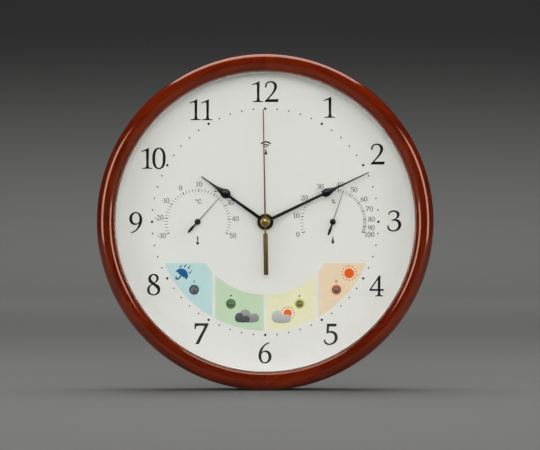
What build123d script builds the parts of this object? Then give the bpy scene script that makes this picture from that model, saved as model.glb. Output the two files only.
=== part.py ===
"""Round wooden wall clock with radio-controlled hands, a dial thermometer, a dial hygrometer
and four forecast lamps.

Millimetres, +Z up, +X to the right as the dial is read. The dial faces -Y. The origin is on the
hands' axis, in the plane of the wall that the clock hangs on, so every depth below is a distance
from that wall, and a point at depth d has y = -d.
"""
import os
from math import atan2, cos, pi, radians, sin

from build123d import *

# Driving dimensions of the case
CASE_R = 160.0            # outside of the wooden ring
SIGHT_R = 142.0           # edge of the dial that shows inside the ring
BACK_R = 158.5            # the ring narrows a little towards the wall
BORE_R = 147.5            # rebate that takes glass, spacer and dial
COUNTERBORE_R = 154.0     # wider rebate that takes the back cover
LEDGE = 6.5               # depth of the ledge that the back cover is screwed to
LIP = 42.5                # back of the lip that holds the glass
CREST_R = (CASE_R - SIGHT_R) / 2
CREST_AT = (CASE_R + SIGHT_R) / 2
CREST_CHORDS = 5          # flats that the half-round front is turned in

# Glass, spacer, dial and back cover
GLASS_R = 147.2
GLASS_T = 2.0
SPACER_IN_R = 143.4
DIAL_R = 147.0
DIAL_BACK = 25.0
DIAL_FRONT = 26.0
COVER_R = 153.6
COVER_BACK = 4.0
PILLAR = (138.0, 146.5)
PILLAR_T = 3.0
PILLARS = 8

# Hands, as angles clockwise from twelve
HOUR_ANGLE = 305.4
MINUTE_ANGLE = 64.5
SECOND_ANGLE = 359.0
HOUR_LENGTH = 74.5
MINUTE_LENGTH = 109.6
SECOND_LENGTH = 107.3
HUB_R = 7.2
HOUR_HAND = (31.2, 31.7)
MINUTE_HAND = (33.4, 33.9)
SECOND_HAND = (35.8, 36.2)
CAP_R = 4.9
CAP_TOP = 38.6
CAP_RIM = 0.4

# Instruments left and right of the hands
INSTRUMENT_X = 64.5
THERMOMETER_ANGLE = 41.8
HYGROMETER_ANGLE = 18.8
NEEDLE = (27.8, 28.1)

# Forecast lamps, by place on the dial
LAMPS = {
    "lamp_rain": (-67.9, -64.8),
    "lamp_falling": (-32.8, -78.3),
    "lamp_rising": (32.8, -78.3),
    "lamp_fair": (67.9, -64.8),
}
LAMP_R = 3.0
LAMP_DOME = 1.9
BOARD = (22.6, 24.1)

# Movement housing, its plates and its two gear trains
HOUSING_X = 30.0
HOUSING_TOP = 30.0
HOUSING_BOTTOM = -46.0
HOUSING_SPLIT = -27.5     # wall between the works and the battery
HOUSING = (5.0, 24.5)
WALL = 1.5
REAR_JOIN = 6.4
FRONT_INSIDE = HOUSING[1] - WALL
CIRCUIT = (7.8, 8.6)
REAR_PLATE = (9.6, 10.5)
MIDDLE_PLATE = (15.8, 16.6)
BOSS_FACE = 21.5
FRONT_BEARING = (BOSS_FACE, FRONT_INSIDE)
RUNNING = 0.05            # radial clearance of everything that turns
PIVOT_R = 0.35
ARBOR_R = 0.5
SHOULDER = 0.1            # between an arbor's shoulder and its bearing
PIVOT_END = 0.2           # of a pivot, short of its bearing's far side
SECOND_ARBOR_R = 0.5
MINUTE_TUBE_R = 1.7
HOUR_TUBE_R = 2.5
BUSH_R = 4.0

# Gear modules and teeth, and the tooth forms: addendum, dedendum, and the share of half a pitch
# that is flat at the tip
ROTOR_MODULE = 0.40
DRIVE_MODULE = 0.48
MINUTE_MODULE = 1.6 / 3
CANNON_MODULE = 0.60
HOUR_MODULE = 0.48
LEAVES = 6                # of every driving pinion
ROTOR_WHEEL_TEETH = 36
DRIVE_WHEEL_TEETH = 30
MINUTE_TEETH = 36
CANNON_LEAVES = 8
MOTION_TEETH = 24
HOUR_TEETH = 32
WHEEL_TOOTH = (0.8, 1.3, 0.12)
PINION_TOOTH = (0.6, 1.4, 0.12)

# Sides of the rounds that are small or hidden, which are drawn with flats
ARBOR_SIDES = 8
SMALL_SIDES = 12
ROUND_SIDES = 16
HUB_SIDES = 24
RIM_SIDES = 60

AA_R = 7.1
AA_LENGTH = 49.0


def front(depth):
    """Plane parallel to the dial at a depth from the wall, seen from the front."""
    return Plane(origin=(0, -depth, 0), x_dir=(1, 0, 0), z_dir=(0, -1, 0))


def slab(outline, near, far):
    """A flat outline, thickened from one depth to another."""
    return extrude(front(near) * outline, far - near)


def facet_disc(radius, near, far, at=(0, 0), sides=SMALL_SIDES):
    """Small round with flat sides, whose corners lie on the radius."""
    return slab(Pos(*at) * RegularPolygon(radius, sides), near, far)


def facet_hole(radius, near, far, at=(0, 0), sides=SMALL_SIDES):
    """Cutter for a small hole with flat sides, which clears a round of the radius."""
    return slab(Pos(*at) * RegularPolygon(radius, sides, major_radius=False), near, far)


def rod(radius, near, far, at=(0, 0)):
    """True round: a pivot, a staff, or the cutter of a bore that turns."""
    return slab(Pos(*at) * Circle(radius), near, far)


def faceted(rings, at=(0, 0), sides=SMALL_SIDES):
    """Round with flat sides that tapers, from radius and depth pairs of its rings of corners."""
    angles = [2 * pi * k / sides for k in range(sides)]
    loops = [[(at[0] + r * cos(a), -d, at[1] + r * sin(a)) for a in angles] for r, d in rings]
    faces = [Face(Wire.make_polygon(loops[0])), Face(Wire.make_polygon(loops[-1]))]
    for low, high in zip(loops, loops[1:]):
        for k in range(sides):
            faces.append(Face(Wire.make_polygon([low[k - 1], low[k], high[k], high[k - 1]])))
    return Solid(Shell(faces))


def domed(radius, base, rim, height, at=(0, 0), sides=SMALL_SIDES):
    """Small round with a domed top: straight from its base to its rim, then two tapers."""
    top = [(0.78 * radius, rim + 0.6 * height), (0.3 * radius, rim + height)]
    return faceted([(radius, base), (radius, rim)] + top, at, sides)


def block(x, z, near, far):
    """Block between two x, two z and two depths."""
    centre = Pos((x[0] + x[1]) / 2, (z[0] + z[1]) / 2)
    return slab(centre * Rectangle(x[1] - x[0], z[1] - z[0]), near, far)


def turned(points, at=(0, 0)):
    """A solid of revolution about an axis square to the dial, from radius and depth pairs."""
    profile = make_face(Polyline(*[(r, -d) for r, d in points], close=True))
    return Pos(at[0], 0, at[1]) * revolve(profile, Axis.Y)


def around(count, radius, start=0.0):
    """Evenly spaced places on a circle."""
    angles = [radians(start + 360 * k / count) for k in range(count)]
    return [(radius * cos(a), radius * sin(a)) for a in angles]


def clock_turn(shape, angle, at=(0, 0)):
    """Turn a shape that points at twelve to a clock angle about an axis on the dial."""
    return Pos(at[0], 0, at[1]) * Rot(0, angle, 0) * shape


def step(at, distance, heading):
    """The place at a distance and heading from another, counted anticlockwise from +X."""
    return (at[0] + distance * cos(radians(heading)), at[1] + distance * sin(radians(heading)))


def gear(teeth, module, form, near, far, at=(0, 0), phase=0.0):
    """Gear with flat tips and V-shaped roots, its first tooth at the phase angle in radians."""
    addendum, dedendum, tip_share = form
    pitch_r = teeth * module / 2
    tip_r = pitch_r + addendum * module
    root_r = pitch_r - dedendum * module
    half_tip = tip_share * pi * module / tip_r / 2
    corners = ((tip_r, -half_tip), (tip_r, half_tip), (root_r, pi / teeth))
    points = []
    for tooth in range(teeth):
        middle = phase + 2 * pi * tooth / teeth
        points += [(r * cos(middle + a), r * sin(middle + a)) for r, a in corners]
    return slab(Pos(*at) * Polygon(*points, align=None), near, far)


def meshed(teeth, phase, at, other_teeth, other_at):
    """Phase that puts a second gear's gap where the first gear's tooth points at it."""
    heading = atan2(other_at[1] - at[1], other_at[0] - at[0])
    return heading + pi - teeth / other_teeth * (phase - heading) - pi / other_teeth


def apart(teeth, other_teeth, module):
    """Distance between the axes of two gears in mesh."""
    return (teeth + other_teeth) / 2 * module


# Places of the gear axes on the dial
HANDS = (0.0, 0.0)
SECOND_DRIVE = step(HANDS, apart(DRIVE_WHEEL_TEETH, LEAVES, DRIVE_MODULE), 190)
SECOND_ROTOR = step(SECOND_DRIVE, apart(ROTOR_WHEEL_TEETH, LEAVES, ROTOR_MODULE), 230)
MINUTE_DRIVE = step(HANDS, apart(MINUTE_TEETH, LEAVES, MINUTE_MODULE), -10)
MINUTE_RELAY = step(MINUTE_DRIVE, apart(DRIVE_WHEEL_TEETH, LEAVES, DRIVE_MODULE), -25)
MINUTE_ROTOR = step(MINUTE_RELAY, apart(ROTOR_WHEEL_TEETH, LEAVES, ROTOR_MODULE), 235)
MOTION = step(HANDS, apart(MOTION_TEETH, CANNON_LEAVES, CANNON_MODULE), 135)

COIL_OFFSET = 9.6
STATOR = (13.6, 14.8)
STATOR_HALF = (3.2, 11.0)
ROTOR_HOLE_R = 2.6


# The case

def wood_frame():
    """Turned ring: half-round front that forms the lip, two rebates, pilot holes for screws."""
    steps = [pi * k / CREST_CHORDS for k in range(CREST_CHORDS + 1)]
    crest = [(CREST_AT + CREST_R * cos(a), LIP + CREST_R * sin(a)) for a in steps]
    ring = turned(crest + [(CREST_AT - CREST_R, 0), (BACK_R, 0)])
    ring -= facet_hole(BORE_R, 0, LIP, sides=RIM_SIDES)
    ring -= facet_hole(COUNTERBORE_R, 0, LEDGE, sides=RIM_SIDES)
    for place in COVER_SCREWS:
        ring -= facet_hole(SCREW_R + 0.02, LEDGE, LEDGE + SCREW_BITE + 1, place, ARBOR_SIDES)
    return ring


SCREW_R = 1.3
SCREW_HEAD_R = 2.7
SCREW_BITE = 9.0
COVER_SCREWS = around(4, 150.8, 45)


def front_glass():
    return facet_disc(GLASS_R, LIP - GLASS_T, LIP, sides=RIM_SIDES)


def dial_spacer():
    """White ring between the dial and the glass, flared a little towards the glass."""
    back, face = DIAL_FRONT, LIP - GLASS_T
    opening = faceted([(SPACER_IN_R - 1.2, back), (SPACER_IN_R, face)], sides=RIM_SIDES)
    return facet_disc(DIAL_R, back, face, sides=RIM_SIDES) - opening


def dial_plate():
    plate = facet_disc(DIAL_R, DIAL_BACK, DIAL_FRONT, sides=RIM_SIDES)
    plate -= facet_hole(BUSH_R + 0.1, DIAL_BACK, DIAL_FRONT, sides=ROUND_SIDES)
    for side in (-1, 1):
        plate -= facet_hole(COLLET_R + 0.1, DIAL_BACK, DIAL_FRONT, (side * INSTRUMENT_X, 0))
    for place in LAMPS.values():
        plate -= facet_hole(LAMP_R + 0.1, DIAL_BACK, DIAL_FRONT, place)
    return plate


POCKET_X = 8.5
POCKET_Z = (110.0, 137.0)
POCKET_FLOOR = 16.0
DOOR_X = 29.0
DOOR_Z = (-99.5, -68.0)
DOOR_GAP = 0.3
VENT_LENGTH = 26.0
VENT_WIDTH = 2.6
VENT_PITCH = 6.5
RIB_FROM = 58.0
RIB_BEARINGS = (60, 120, 240, 300)
BOSS_HALF = 3.2


def back_cover():
    """Moulded cover: pillars that press on the dial, ribs, windows, vents and a pocket."""
    cover = facet_disc(COVER_R, COVER_BACK, LEDGE, sides=RIM_SIDES)
    pillar = Pos(sum(PILLAR) / 2, 0) * Rectangle(PILLAR[1] - PILLAR[0], PILLAR_T)
    for k in range(PILLARS):
        cover += slab(Rot(0, 0, 360 * (k + 0.5) / PILLARS) * pillar, LEDGE - 1, DIAL_BACK)
    rib = Pos((PILLAR[0] + RIB_FROM) / 2, 0) * Rectangle(PILLAR[0] - RIB_FROM, 2.0)
    for bearing in RIB_BEARINGS:
        cover += slab(Rot(0, 0, bearing) * rib, LEDGE - 1, LEDGE + 5)
    cover -= block((-HOUSING_X - 0.6, HOUSING_X + 0.6), (HOUSING_BOTTOM - 0.6, HOUSING_TOP + 0.6),
                   COVER_BACK, LEDGE)
    cover -= block((-DOOR_X - DOOR_GAP, DOOR_X + DOOR_GAP),
                   (DOOR_Z[0] - DOOR_GAP, DOOR_Z[1] + DOOR_GAP), COVER_BACK, LEDGE)
    cover += block((-POCKET_X - WALL, POCKET_X + WALL), (POCKET_Z[0] - WALL, POCKET_Z[1] + WALL),
                   LEDGE - 1, POCKET_FLOOR + WALL)
    for place in HANGER_SCREWS:
        boss = (place[0] - BOSS_HALF, place[0] + BOSS_HALF)
        cover += block(boss, (place[1] - BOSS_HALF, place[1] + BOSS_HALF), LEDGE - 1, 14.0)
        cover -= facet_hole(SCREW_R + 0.02, COVER_BACK, 13.0, place, ARBOR_SIDES)
    cover -= block((-POCKET_X, POCKET_X), POCKET_Z, COVER_BACK, POCKET_FLOOR)
    for side in (-1, 1):
        vent_x = (side * INSTRUMENT_X - VENT_LENGTH / 2, side * INSTRUMENT_X + VENT_LENGTH / 2)
        for row in range(-2, 3):
            vent_z = (row * VENT_PITCH - VENT_WIDTH / 2, row * VENT_PITCH + VENT_WIDTH / 2)
            cover -= block(vent_x, vent_z, COVER_BACK, LEDGE)
    for place in COVER_SCREWS:
        cover -= facet_hole(SCREW_R + 0.2, COVER_BACK, LEDGE, place, ARBOR_SIDES)
    return cover


def pan_screw(head_from, head_to, tip, place):
    """Pan-head screw driven from the wall side."""
    head = facet_disc(SCREW_HEAD_R, head_from, head_to, place)
    return head + facet_disc(SCREW_R, head_to, tip, place, ARBOR_SIDES)


def back_cover_screws():
    return [pan_screw(2.3, COVER_BACK, LEDGE + SCREW_BITE, place) for place in COVER_SCREWS]


HANGER_T = 1.2
HANGER_HALF = (21.0, 17.5)
HANGER_Z = 123.5
KEYHOLE_R = 5.0
KEYHOLE_Z = 118.5
KEYHOLE_SLOT = 5.2
KEYHOLE_TOP = 131.0
HANGER_SCREWS = [(-15.0, HANGER_Z), (15.0, HANGER_Z)]


def hanger_plate():
    """Steel plate over the pocket, with a keyhole for a wall screw."""
    keyhole = Pos(0, KEYHOLE_Z) * Circle(KEYHOLE_R)
    keyhole += Pos(0, (KEYHOLE_Z + KEYHOLE_TOP) / 2) * Rectangle(KEYHOLE_SLOT, KEYHOLE_TOP - KEYHOLE_Z)
    keyhole += Pos(0, KEYHOLE_TOP) * Circle(KEYHOLE_SLOT / 2)
    plate = slab(Pos(0, HANGER_Z) * Rectangle(2 * HANGER_HALF[0], 2 * HANGER_HALF[1]) - keyhole,
                 COVER_BACK - HANGER_T, COVER_BACK)
    plate = chamfer(plate.edges().filter_by(Axis.Y).filter_by(GeomType.LINE).filter_by_position(
        Axis.Z, HANGER_Z - HANGER_HALF[1], HANGER_Z - HANGER_HALF[1]), 3)
    for place in HANGER_SCREWS:
        plate -= facet_hole(SCREW_R + 0.1, COVER_BACK - HANGER_T, COVER_BACK, place)
    return plate


def hanger_screws():
    """Two screws through the plate and the cover, each into its own boss."""
    return [pan_screw(1.3, COVER_BACK - HANGER_T, 12.0, place) for place in HANGER_SCREWS]


# The movement

def front_case():
    """Tray behind the dial: walls, battery bay, pivot bosses and posts for the middle plate."""
    inner_x = (-HOUSING_X + WALL, HOUSING_X - WALL)
    roof = FRONT_INSIDE + 0.5
    case = block((-HOUSING_X, HOUSING_X), (HOUSING_BOTTOM, HOUSING_TOP), REAR_JOIN, HOUSING[1])
    case = chamfer(case.edges().filter_by(Axis.Y), 1.0)
    case -= block(inner_x, (HOUSING_SPLIT, HOUSING_TOP - WALL), REAR_JOIN, FRONT_INSIDE)
    case -= block(inner_x, (HOUSING_BOTTOM + WALL, HOUSING_SPLIT - WALL), REAR_JOIN, FRONT_INSIDE)
    for place in MIDDLE_POSTS:
        case += facet_disc(1.7, MIDDLE_PLATE[1], roof, place, ARBOR_SIDES)
    for place in (MINUTE_DRIVE, MINUTE_RELAY, MINUTE_ROTOR):
        case += facet_disc(1.3, BOSS_FACE, roof, place, ARBOR_SIDES)
        case -= facet_hole(PIVOT_R + RUNNING, *FRONT_BEARING, place, ARBOR_SIDES)
    case += facet_disc(MOTION_STUD_R, MOTION_WHEEL[0] + 0.2, roof, MOTION)
    for x in (-23.5, 23.5):
        case += v_block(x, ANTENNA_Z, ANTENNA_DEPTH, ANTENNA_R)
    for x in (-16.0, 16.0):
        case += v_block(x, CELL_Z, CELL_DEPTH, AA_R)
    case -= facet_hole(BUSH_R + 0.02, FRONT_INSIDE, HOUSING[1], sides=ROUND_SIDES)
    return case


def v_block(x, z, depth, radius):
    """Rib across the case that a lying round bar rests in, on two flats at 45 degrees."""
    tip = depth + radius * 2 ** 0.5 + 0.05
    half = min(radius * 0.9, FRONT_INSIDE - depth - 1.0)
    outline = [(-half, tip - half), (0, tip), (half, tip - half), (half, FRONT_INSIDE), (-half, FRONT_INSIDE)]
    if tip > FRONT_INSIDE:
        flat = tip - FRONT_INSIDE
        outline = [(-half, tip - half), (-flat, FRONT_INSIDE), (-half, FRONT_INSIDE)]
        mirrored = [(-a, d) for a, d in outline]
        return v_rib(x, z, outline) + v_rib(x, z, mirrored)
    return v_rib(x, z, outline)


def v_rib(x, z, outline):
    profile = Plane.YZ * make_face(Polyline(*[(-d, z + a) for a, d in outline], close=True))
    return Pos(x, 0, 0) * extrude(profile, 1.0, both=True)


MIDDLE_POSTS = [(-17.5, 9.0), (18.0, 8.5), (-17.0, -10.0), (3.0, -16.0)]
REAR_POSTS = [(13.0, 6.0), (0.0, -14.5), (-16.5, 7.0)]
MOTION_STUD_R = 0.85
MOTION_WHEEL = (18.8, 19.6)
ANTENNA_Z = 22.0
ANTENNA_DEPTH = 14.5
ANTENNA_R = 4.0
CELL_Z = (HOUSING_BOTTOM + HOUSING_SPLIT) / 2
CELL_DEPTH = 13.5
BUTTONS = {"reset_button": (-20.0, 20.0), "receive_button": (-20.0, 8.0), "set_button": (-20.0, -4.0)}
BUTTON_R = 2.2


def rear_case():
    """Cover of the works, with a locating rim and three button holes."""
    outline = Pos(0, (HOUSING_TOP + HOUSING_SPLIT) / 2) * Rectangle(
        2 * HOUSING_X, HOUSING_TOP - HOUSING_SPLIT)
    cover = slab(outline, HOUSING[0], REAR_JOIN)
    cover = chamfer(cover.faces().sort_by(Axis.Y)[-1].edges(), 0.6)
    rim_x = HOUSING_X - WALL - 0.1
    rim_z = (HOUSING_SPLIT + 0.1, HOUSING_TOP - WALL - 0.1)
    rim = block((-rim_x, rim_x), rim_z, REAR_JOIN - 0.5, CIRCUIT[0])
    rim -= block((-rim_x + 1, rim_x - 1), (rim_z[0] + 1, rim_z[1] - 1), REAR_JOIN - 0.5, CIRCUIT[0])
    cover += rim
    for place in BUTTONS.values():
        cover -= facet_hole(BUTTON_R + 0.1, HOUSING[0], REAR_JOIN, place)
    return cover


def button(place):
    """Push button: a domed cap through the case, and a flange that keeps it in."""
    flange = REAR_JOIN + 0.05
    cap = facet_disc(BUTTON_R, 3.9, flange, place)
    cap = chamfer(cap.faces().sort_by(Axis.Y)[-1].edges(), 0.4)
    return cap + facet_disc(BUTTON_R + 0.6, flange, flange + 0.4, place)


def pivot_plate(x, z, depths, pivots):
    """Plate with a pivot hole for each arbor, and one for the second hand's arbor."""
    plate = block(x, z, *depths)
    for place in pivots:
        plate -= facet_hole(PIVOT_R + RUNNING, *depths, place, ARBOR_SIDES)
    return plate - facet_hole(SECOND_ARBOR_R + RUNNING, *depths, HANDS, ARBOR_SIDES)


def rear_plate():
    """Train bridge: the rear pivots of both rotors and of the second hand's wheels."""
    return pivot_plate((-19, 18), (-17.5, 9.5), REAR_PLATE, (SECOND_DRIVE, SECOND_ROTOR, MINUTE_ROTOR))


def middle_plate():
    """Plate between the trains, with its pillars to the rear plate and pads for the stators."""
    pivots = (SECOND_DRIVE, SECOND_ROTOR, MINUTE_DRIVE, MINUTE_RELAY)
    plate = pivot_plate((-19, 23), (-24, 12), MIDDLE_PLATE, pivots)
    plate -= facet_hole(1.0, *MIDDLE_PLATE, MINUTE_ROTOR, ARBOR_SIDES)
    for x, z in REAR_POSTS:
        plate += block((x - 1, x + 1), (z - 1, z + 1), REAR_PLATE[1], MIDDLE_PLATE[1])
    for x, z in (SECOND_ROTOR, MINUTE_ROTOR):
        for end in (z - 8.5, z + 8.5):
            plate += block((x - 1.2, x + 1.2), (end - 1.2, end + 1.2), STATOR[1], MIDDLE_PLATE[1])
    return plate


def tube(outer, inner, near, far, sides=ROUND_SIDES):
    """Small tube on the hands' axis."""
    return facet_disc(outer, near, far, sides=sides) - facet_hole(inner, near, far, sides=sides)


def arbor_bush():
    """Brass tube that the hands' arbors come through, flanged inside the case."""
    bush = facet_disc(BUSH_R, 22.2, 28.8, sides=ROUND_SIDES) + facet_disc(5.5, 22.2, FRONT_INSIDE)
    return bush - rod(HOUR_TUBE_R + RUNNING, 22.2, 28.8)


def rubber_washer():
    return tube(9.0, BUSH_R + 0.1, HOUSING[1], DIAL_BACK)


def fixing_nut():
    """Hexagon nut that clamps the dial to the movement, on its washer."""
    nut = tube(6.4, BUSH_R + 0.02, DIAL_FRONT + 0.5, 28.3, 6)
    nut -= facet_hole(BUSH_R + 0.02, DIAL_FRONT, 28.3, sides=ROUND_SIDES)
    return nut + tube(8.0, BUSH_R + 0.02, DIAL_FRONT, DIAL_FRONT + 0.5)


def arbor(place, behind, ahead):
    """Arbor between two bearings, with a round pivot behind and one with flats ahead."""
    shoulders = (behind[1] + SHOULDER, ahead[0] - SHOULDER)
    shape = rod(PIVOT_R, behind[0] + PIVOT_END, shoulders[0], place)
    shape += facet_disc(ARBOR_R, *shoulders, place, ARBOR_SIDES)
    return shape + facet_disc(PIVOT_R, shoulders[1], ahead[1] - PIVOT_END, place, ARBOR_SIDES)


SECOND_DRIVE_PHASE = meshed(DRIVE_WHEEL_TEETH, 0.0, HANDS, LEAVES, SECOND_DRIVE)
SECOND_ROTOR_PHASE = meshed(ROTOR_WHEEL_TEETH, 0.0, SECOND_DRIVE, LEAVES, SECOND_ROTOR)
MINUTE_DRIVE_PHASE = meshed(MINUTE_TEETH, 0.0, HANDS, LEAVES, MINUTE_DRIVE)
MINUTE_RELAY_PHASE = meshed(DRIVE_WHEEL_TEETH, 0.0, MINUTE_DRIVE, LEAVES, MINUTE_RELAY)
MINUTE_ROTOR_PHASE = meshed(ROTOR_WHEEL_TEETH, 0.0, MINUTE_RELAY, LEAVES, MINUTE_ROTOR)
MOTION_PHASE = meshed(CANNON_LEAVES, 0.0, HANDS, MOTION_TEETH, MOTION)
HOUR_PHASE = meshed(CANNON_LEAVES, 0.0, MOTION, HOUR_TEETH, HANDS)


def second_wheel():
    """Wheel on the innermost arbor, which carries the second hand."""
    wheel = gear(DRIVE_WHEEL_TEETH, DRIVE_MODULE, WHEEL_TOOTH, 12.8, 13.6)
    wheel += facet_disc(1.3, 12.2, 14.6)
    return wheel + facet_disc(SECOND_ARBOR_R, REAR_PLATE[0] + PIVOT_END, SECOND_HAND[1], sides=ARBOR_SIDES)


def second_drive_wheel():
    wheel = gear(ROTOR_WHEEL_TEETH, ROTOR_MODULE, WHEEL_TOOTH, 11.2, 12.0, SECOND_DRIVE)
    wheel += gear(LEAVES, DRIVE_MODULE, PINION_TOOTH, 12.0, 13.9, SECOND_DRIVE, SECOND_DRIVE_PHASE)
    return wheel + arbor(SECOND_DRIVE, REAR_PLATE, MIDDLE_PLATE)


def rotor(place, phase, pinion, ahead):
    """Magnet disc and pinion on one arbor."""
    body = facet_disc(2.2, 13.2, 15.2, place, ROUND_SIDES)
    body += gear(LEAVES, ROTOR_MODULE, PINION_TOOTH, pinion[0], pinion[1], place, phase)
    return body + arbor(place, REAR_PLATE, ahead)


def minute_wheel():
    """Wheel, cannon pinion and tube in one, carrying the minute hand."""
    wheel = gear(MINUTE_TEETH, MINUTE_MODULE, WHEEL_TOOTH, 17.2, 18.0)
    wheel += gear(CANNON_LEAVES, CANNON_MODULE, PINION_TOOTH, 18.0, 19.9)
    wheel += facet_disc(MINUTE_TUBE_R, 16.9, MINUTE_HAND[1])
    return wheel - facet_hole(SECOND_ARBOR_R + RUNNING, 16.9, MINUTE_HAND[1], sides=ARBOR_SIDES)


def minute_drive_wheel():
    wheel = gear(DRIVE_WHEEL_TEETH, DRIVE_MODULE, WHEEL_TOOTH, 18.8, 19.5, MINUTE_DRIVE)
    wheel += gear(LEAVES, MINUTE_MODULE, PINION_TOOTH, 16.9, 18.8, MINUTE_DRIVE, MINUTE_DRIVE_PHASE)
    return wheel + arbor(MINUTE_DRIVE, MIDDLE_PLATE, FRONT_BEARING)


def minute_relay_wheel():
    wheel = gear(ROTOR_WHEEL_TEETH, ROTOR_MODULE, WHEEL_TOOTH, 20.2, 21.0, MINUTE_RELAY)
    wheel += gear(LEAVES, DRIVE_MODULE, PINION_TOOTH, 18.5, 20.2, MINUTE_RELAY, MINUTE_RELAY_PHASE)
    return wheel + arbor(MINUTE_RELAY, MIDDLE_PLATE, FRONT_BEARING)


def motion_wheel():
    """Reduction between minute and hour hands, running on a stud of the front case."""
    near, far = MOTION_WHEEL
    wheel = gear(MOTION_TEETH, CANNON_MODULE, WHEEL_TOOTH, near, far, MOTION, MOTION_PHASE)
    wheel += gear(CANNON_LEAVES, HOUR_MODULE, PINION_TOOTH, far, 21.9, MOTION)
    return wheel - rod(MOTION_STUD_R + RUNNING, near, 21.9, MOTION)


def hour_wheel():
    """Wheel and outer tube, carrying the hour hand."""
    wheel = gear(HOUR_TEETH, HOUR_MODULE, WHEEL_TOOTH, 20.6, 21.5, HANDS, HOUR_PHASE)
    wheel += facet_disc(HOUR_TUBE_R, 20.2, HOUR_HAND[1])
    return wheel - facet_hole(MINUTE_TUBE_R + RUNNING, 20.2, HOUR_HAND[1])


def stator(rotor_at, side):
    """Flat iron yoke round a rotor, with two arms towards the coil on the given side."""
    half_x, half_z = STATOR_HALF
    yoke = Rectangle(2 * half_x, 2 * half_z) - RegularPolygon(ROTOR_HOLE_R, ROUND_SIDES)
    reach = COIL_OFFSET + 1.6
    for end in (-1, 1):
        yoke += Pos(side * reach / 2, end * (half_z - 1.5)) * Rectangle(reach, 3)
    return slab(Pos(*rotor_at) * yoke, *STATOR)


def lying(radius, length, at, depth, sides=ROUND_SIDES):
    """A round bar along X, centred at a place on the dial and a depth."""
    end = Plane.YZ * RegularPolygon(radius, sides)
    return Pos(at[0], -depth, at[1]) * extrude(end, length / 2, both=True)


def coil(rotor_at, side):
    """Winding between two cheeks on a flat iron core that lies on the stator's arms."""
    x = rotor_at[0] + side * COIL_OFFSET
    z = rotor_at[1]
    middle = STATOR[0] - 0.6
    body = block((x - 1.6, x + 1.6), (z - 11, z + 11), STATOR[0] - 1.2, STATOR[0])
    winding = Plane.XY * RegularPolygon(2.4, SMALL_SIDES)
    body += Pos(x, -middle, z) * extrude(winding, 6.5, both=True)
    for cheek in (z - 7, z + 7):
        body += block((x - 2.5, x + 2.5), (cheek - 0.5, cheek + 0.5), middle - 2.5, middle + 2.5)
    return body


def circuit_board():
    """Board with its chip, held between the rear case's rim and the rear plate's posts."""
    board = slab(Pos(0, -5.7) * Rectangle(56, 43), *CIRCUIT)
    board += block((4, 11), (-4, 3), CIRCUIT[1], CIRCUIT[1] + 0.8)
    for x, z in REAR_POSTS:
        board += block((x - 1, x + 1), (z - 1, z + 1), CIRCUIT[1], REAR_PLATE[0])
    return board


def quartz_crystal():
    return lying(1.0, 6.0, (-23.0, 12.0), CIRCUIT[1] + 1.0, SMALL_SIDES)


def ferrite_antenna():
    return lying(ANTENNA_R, 54.0, (0, ANTENNA_Z), ANTENNA_DEPTH)


def antenna_coil():
    """Winding round the middle of the rod."""
    winding = lying(4.9, 24.0, (0, ANTENNA_Z), ANTENNA_DEPTH)
    return winding - lying(ANTENNA_R + 0.02, 30.0, (0, ANTENNA_Z), ANTENNA_DEPTH)


def aa_cell(at, depth, nub=1):
    """Cylindrical cell with its raised positive end on one side."""
    body = lying(AA_R, AA_LENGTH, at, depth)
    return body + lying(2.7, 1.6, (at[0] + nub * (AA_LENGTH / 2 + 0.8), at[1]), depth, SMALL_SIDES)


def battery_cell():
    return aa_cell((0, CELL_Z), CELL_DEPTH)


def battery_contact(side, reach):
    """Bent strip: flat against the bay's wall, bowed towards the end of the cell."""
    wall = side * (HOUSING_X - WALL)
    tip = side * reach
    strip = [(wall, 7.2), (wall, 19.5), (wall - side * 0.4, 19.5), (tip + side * 0.4, CELL_DEPTH + 1.5),
             (tip, CELL_DEPTH + 1.5), (tip, CELL_DEPTH - 1.5), (tip + side * 0.4, CELL_DEPTH - 1.5),
             (wall - side * 0.4, 7.2)]
    profile = make_face(Polyline(*[(x, -d) for x, d in strip], close=True))
    return Pos(0, 0, CELL_Z) * extrude(profile, 3.5, both=True)


# The hands, drawn pointing at twelve and then turned

def spade_hand(length, bulb_at, bulb_half, bar_half, needle_from, needle_half, bore, depths, collet):
    """Flat hand on its collet: bar, a drop-shaped swell, and a needle."""
    side = [
        (bar_half * 1.1, 0),
        (bar_half, bulb_at - 1.15 * bulb_half),
        (bulb_half * 0.62, bulb_at - 0.86 * bulb_half),
        (bulb_half * 0.93, bulb_at - 0.42 * bulb_half),
        (bulb_half, bulb_at),
        (bulb_half * 0.86, bulb_at + 0.42 * bulb_half),
        (bulb_half * 0.58, bulb_at + 0.86 * bulb_half),
        (bulb_half * 0.30, (bulb_at + 1.7 * bulb_half + needle_from) / 2),
        (needle_half, needle_from + 2.0),
        (needle_half * 0.6, length),
    ]
    outline = side + [(-x, z) for x, z in reversed(side)]
    hub = RegularPolygon(HUB_R, HUB_SIDES)
    hand = slab(Polygon(*outline, align=None) + hub, *depths)
    hand += facet_disc(collet[0], collet[1], depths[0])
    return hand - facet_hole(bore + 0.02, collet[1], depths[1])


def hour_hand():
    hand = spade_hand(HOUR_LENGTH, 46.5, 4.6, 1.5, 57.5, 0.8, HOUR_TUBE_R, HOUR_HAND, (3.6, 29.2))
    return clock_turn(hand, HOUR_ANGLE)


def minute_hand():
    hand = spade_hand(MINUTE_LENGTH, 64.6, 4.1, 1.45, 76.5, 0.85, MINUTE_TUBE_R, MINUTE_HAND, (3.0, 32.1))
    return clock_turn(hand, MINUTE_ANGLE)


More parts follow.
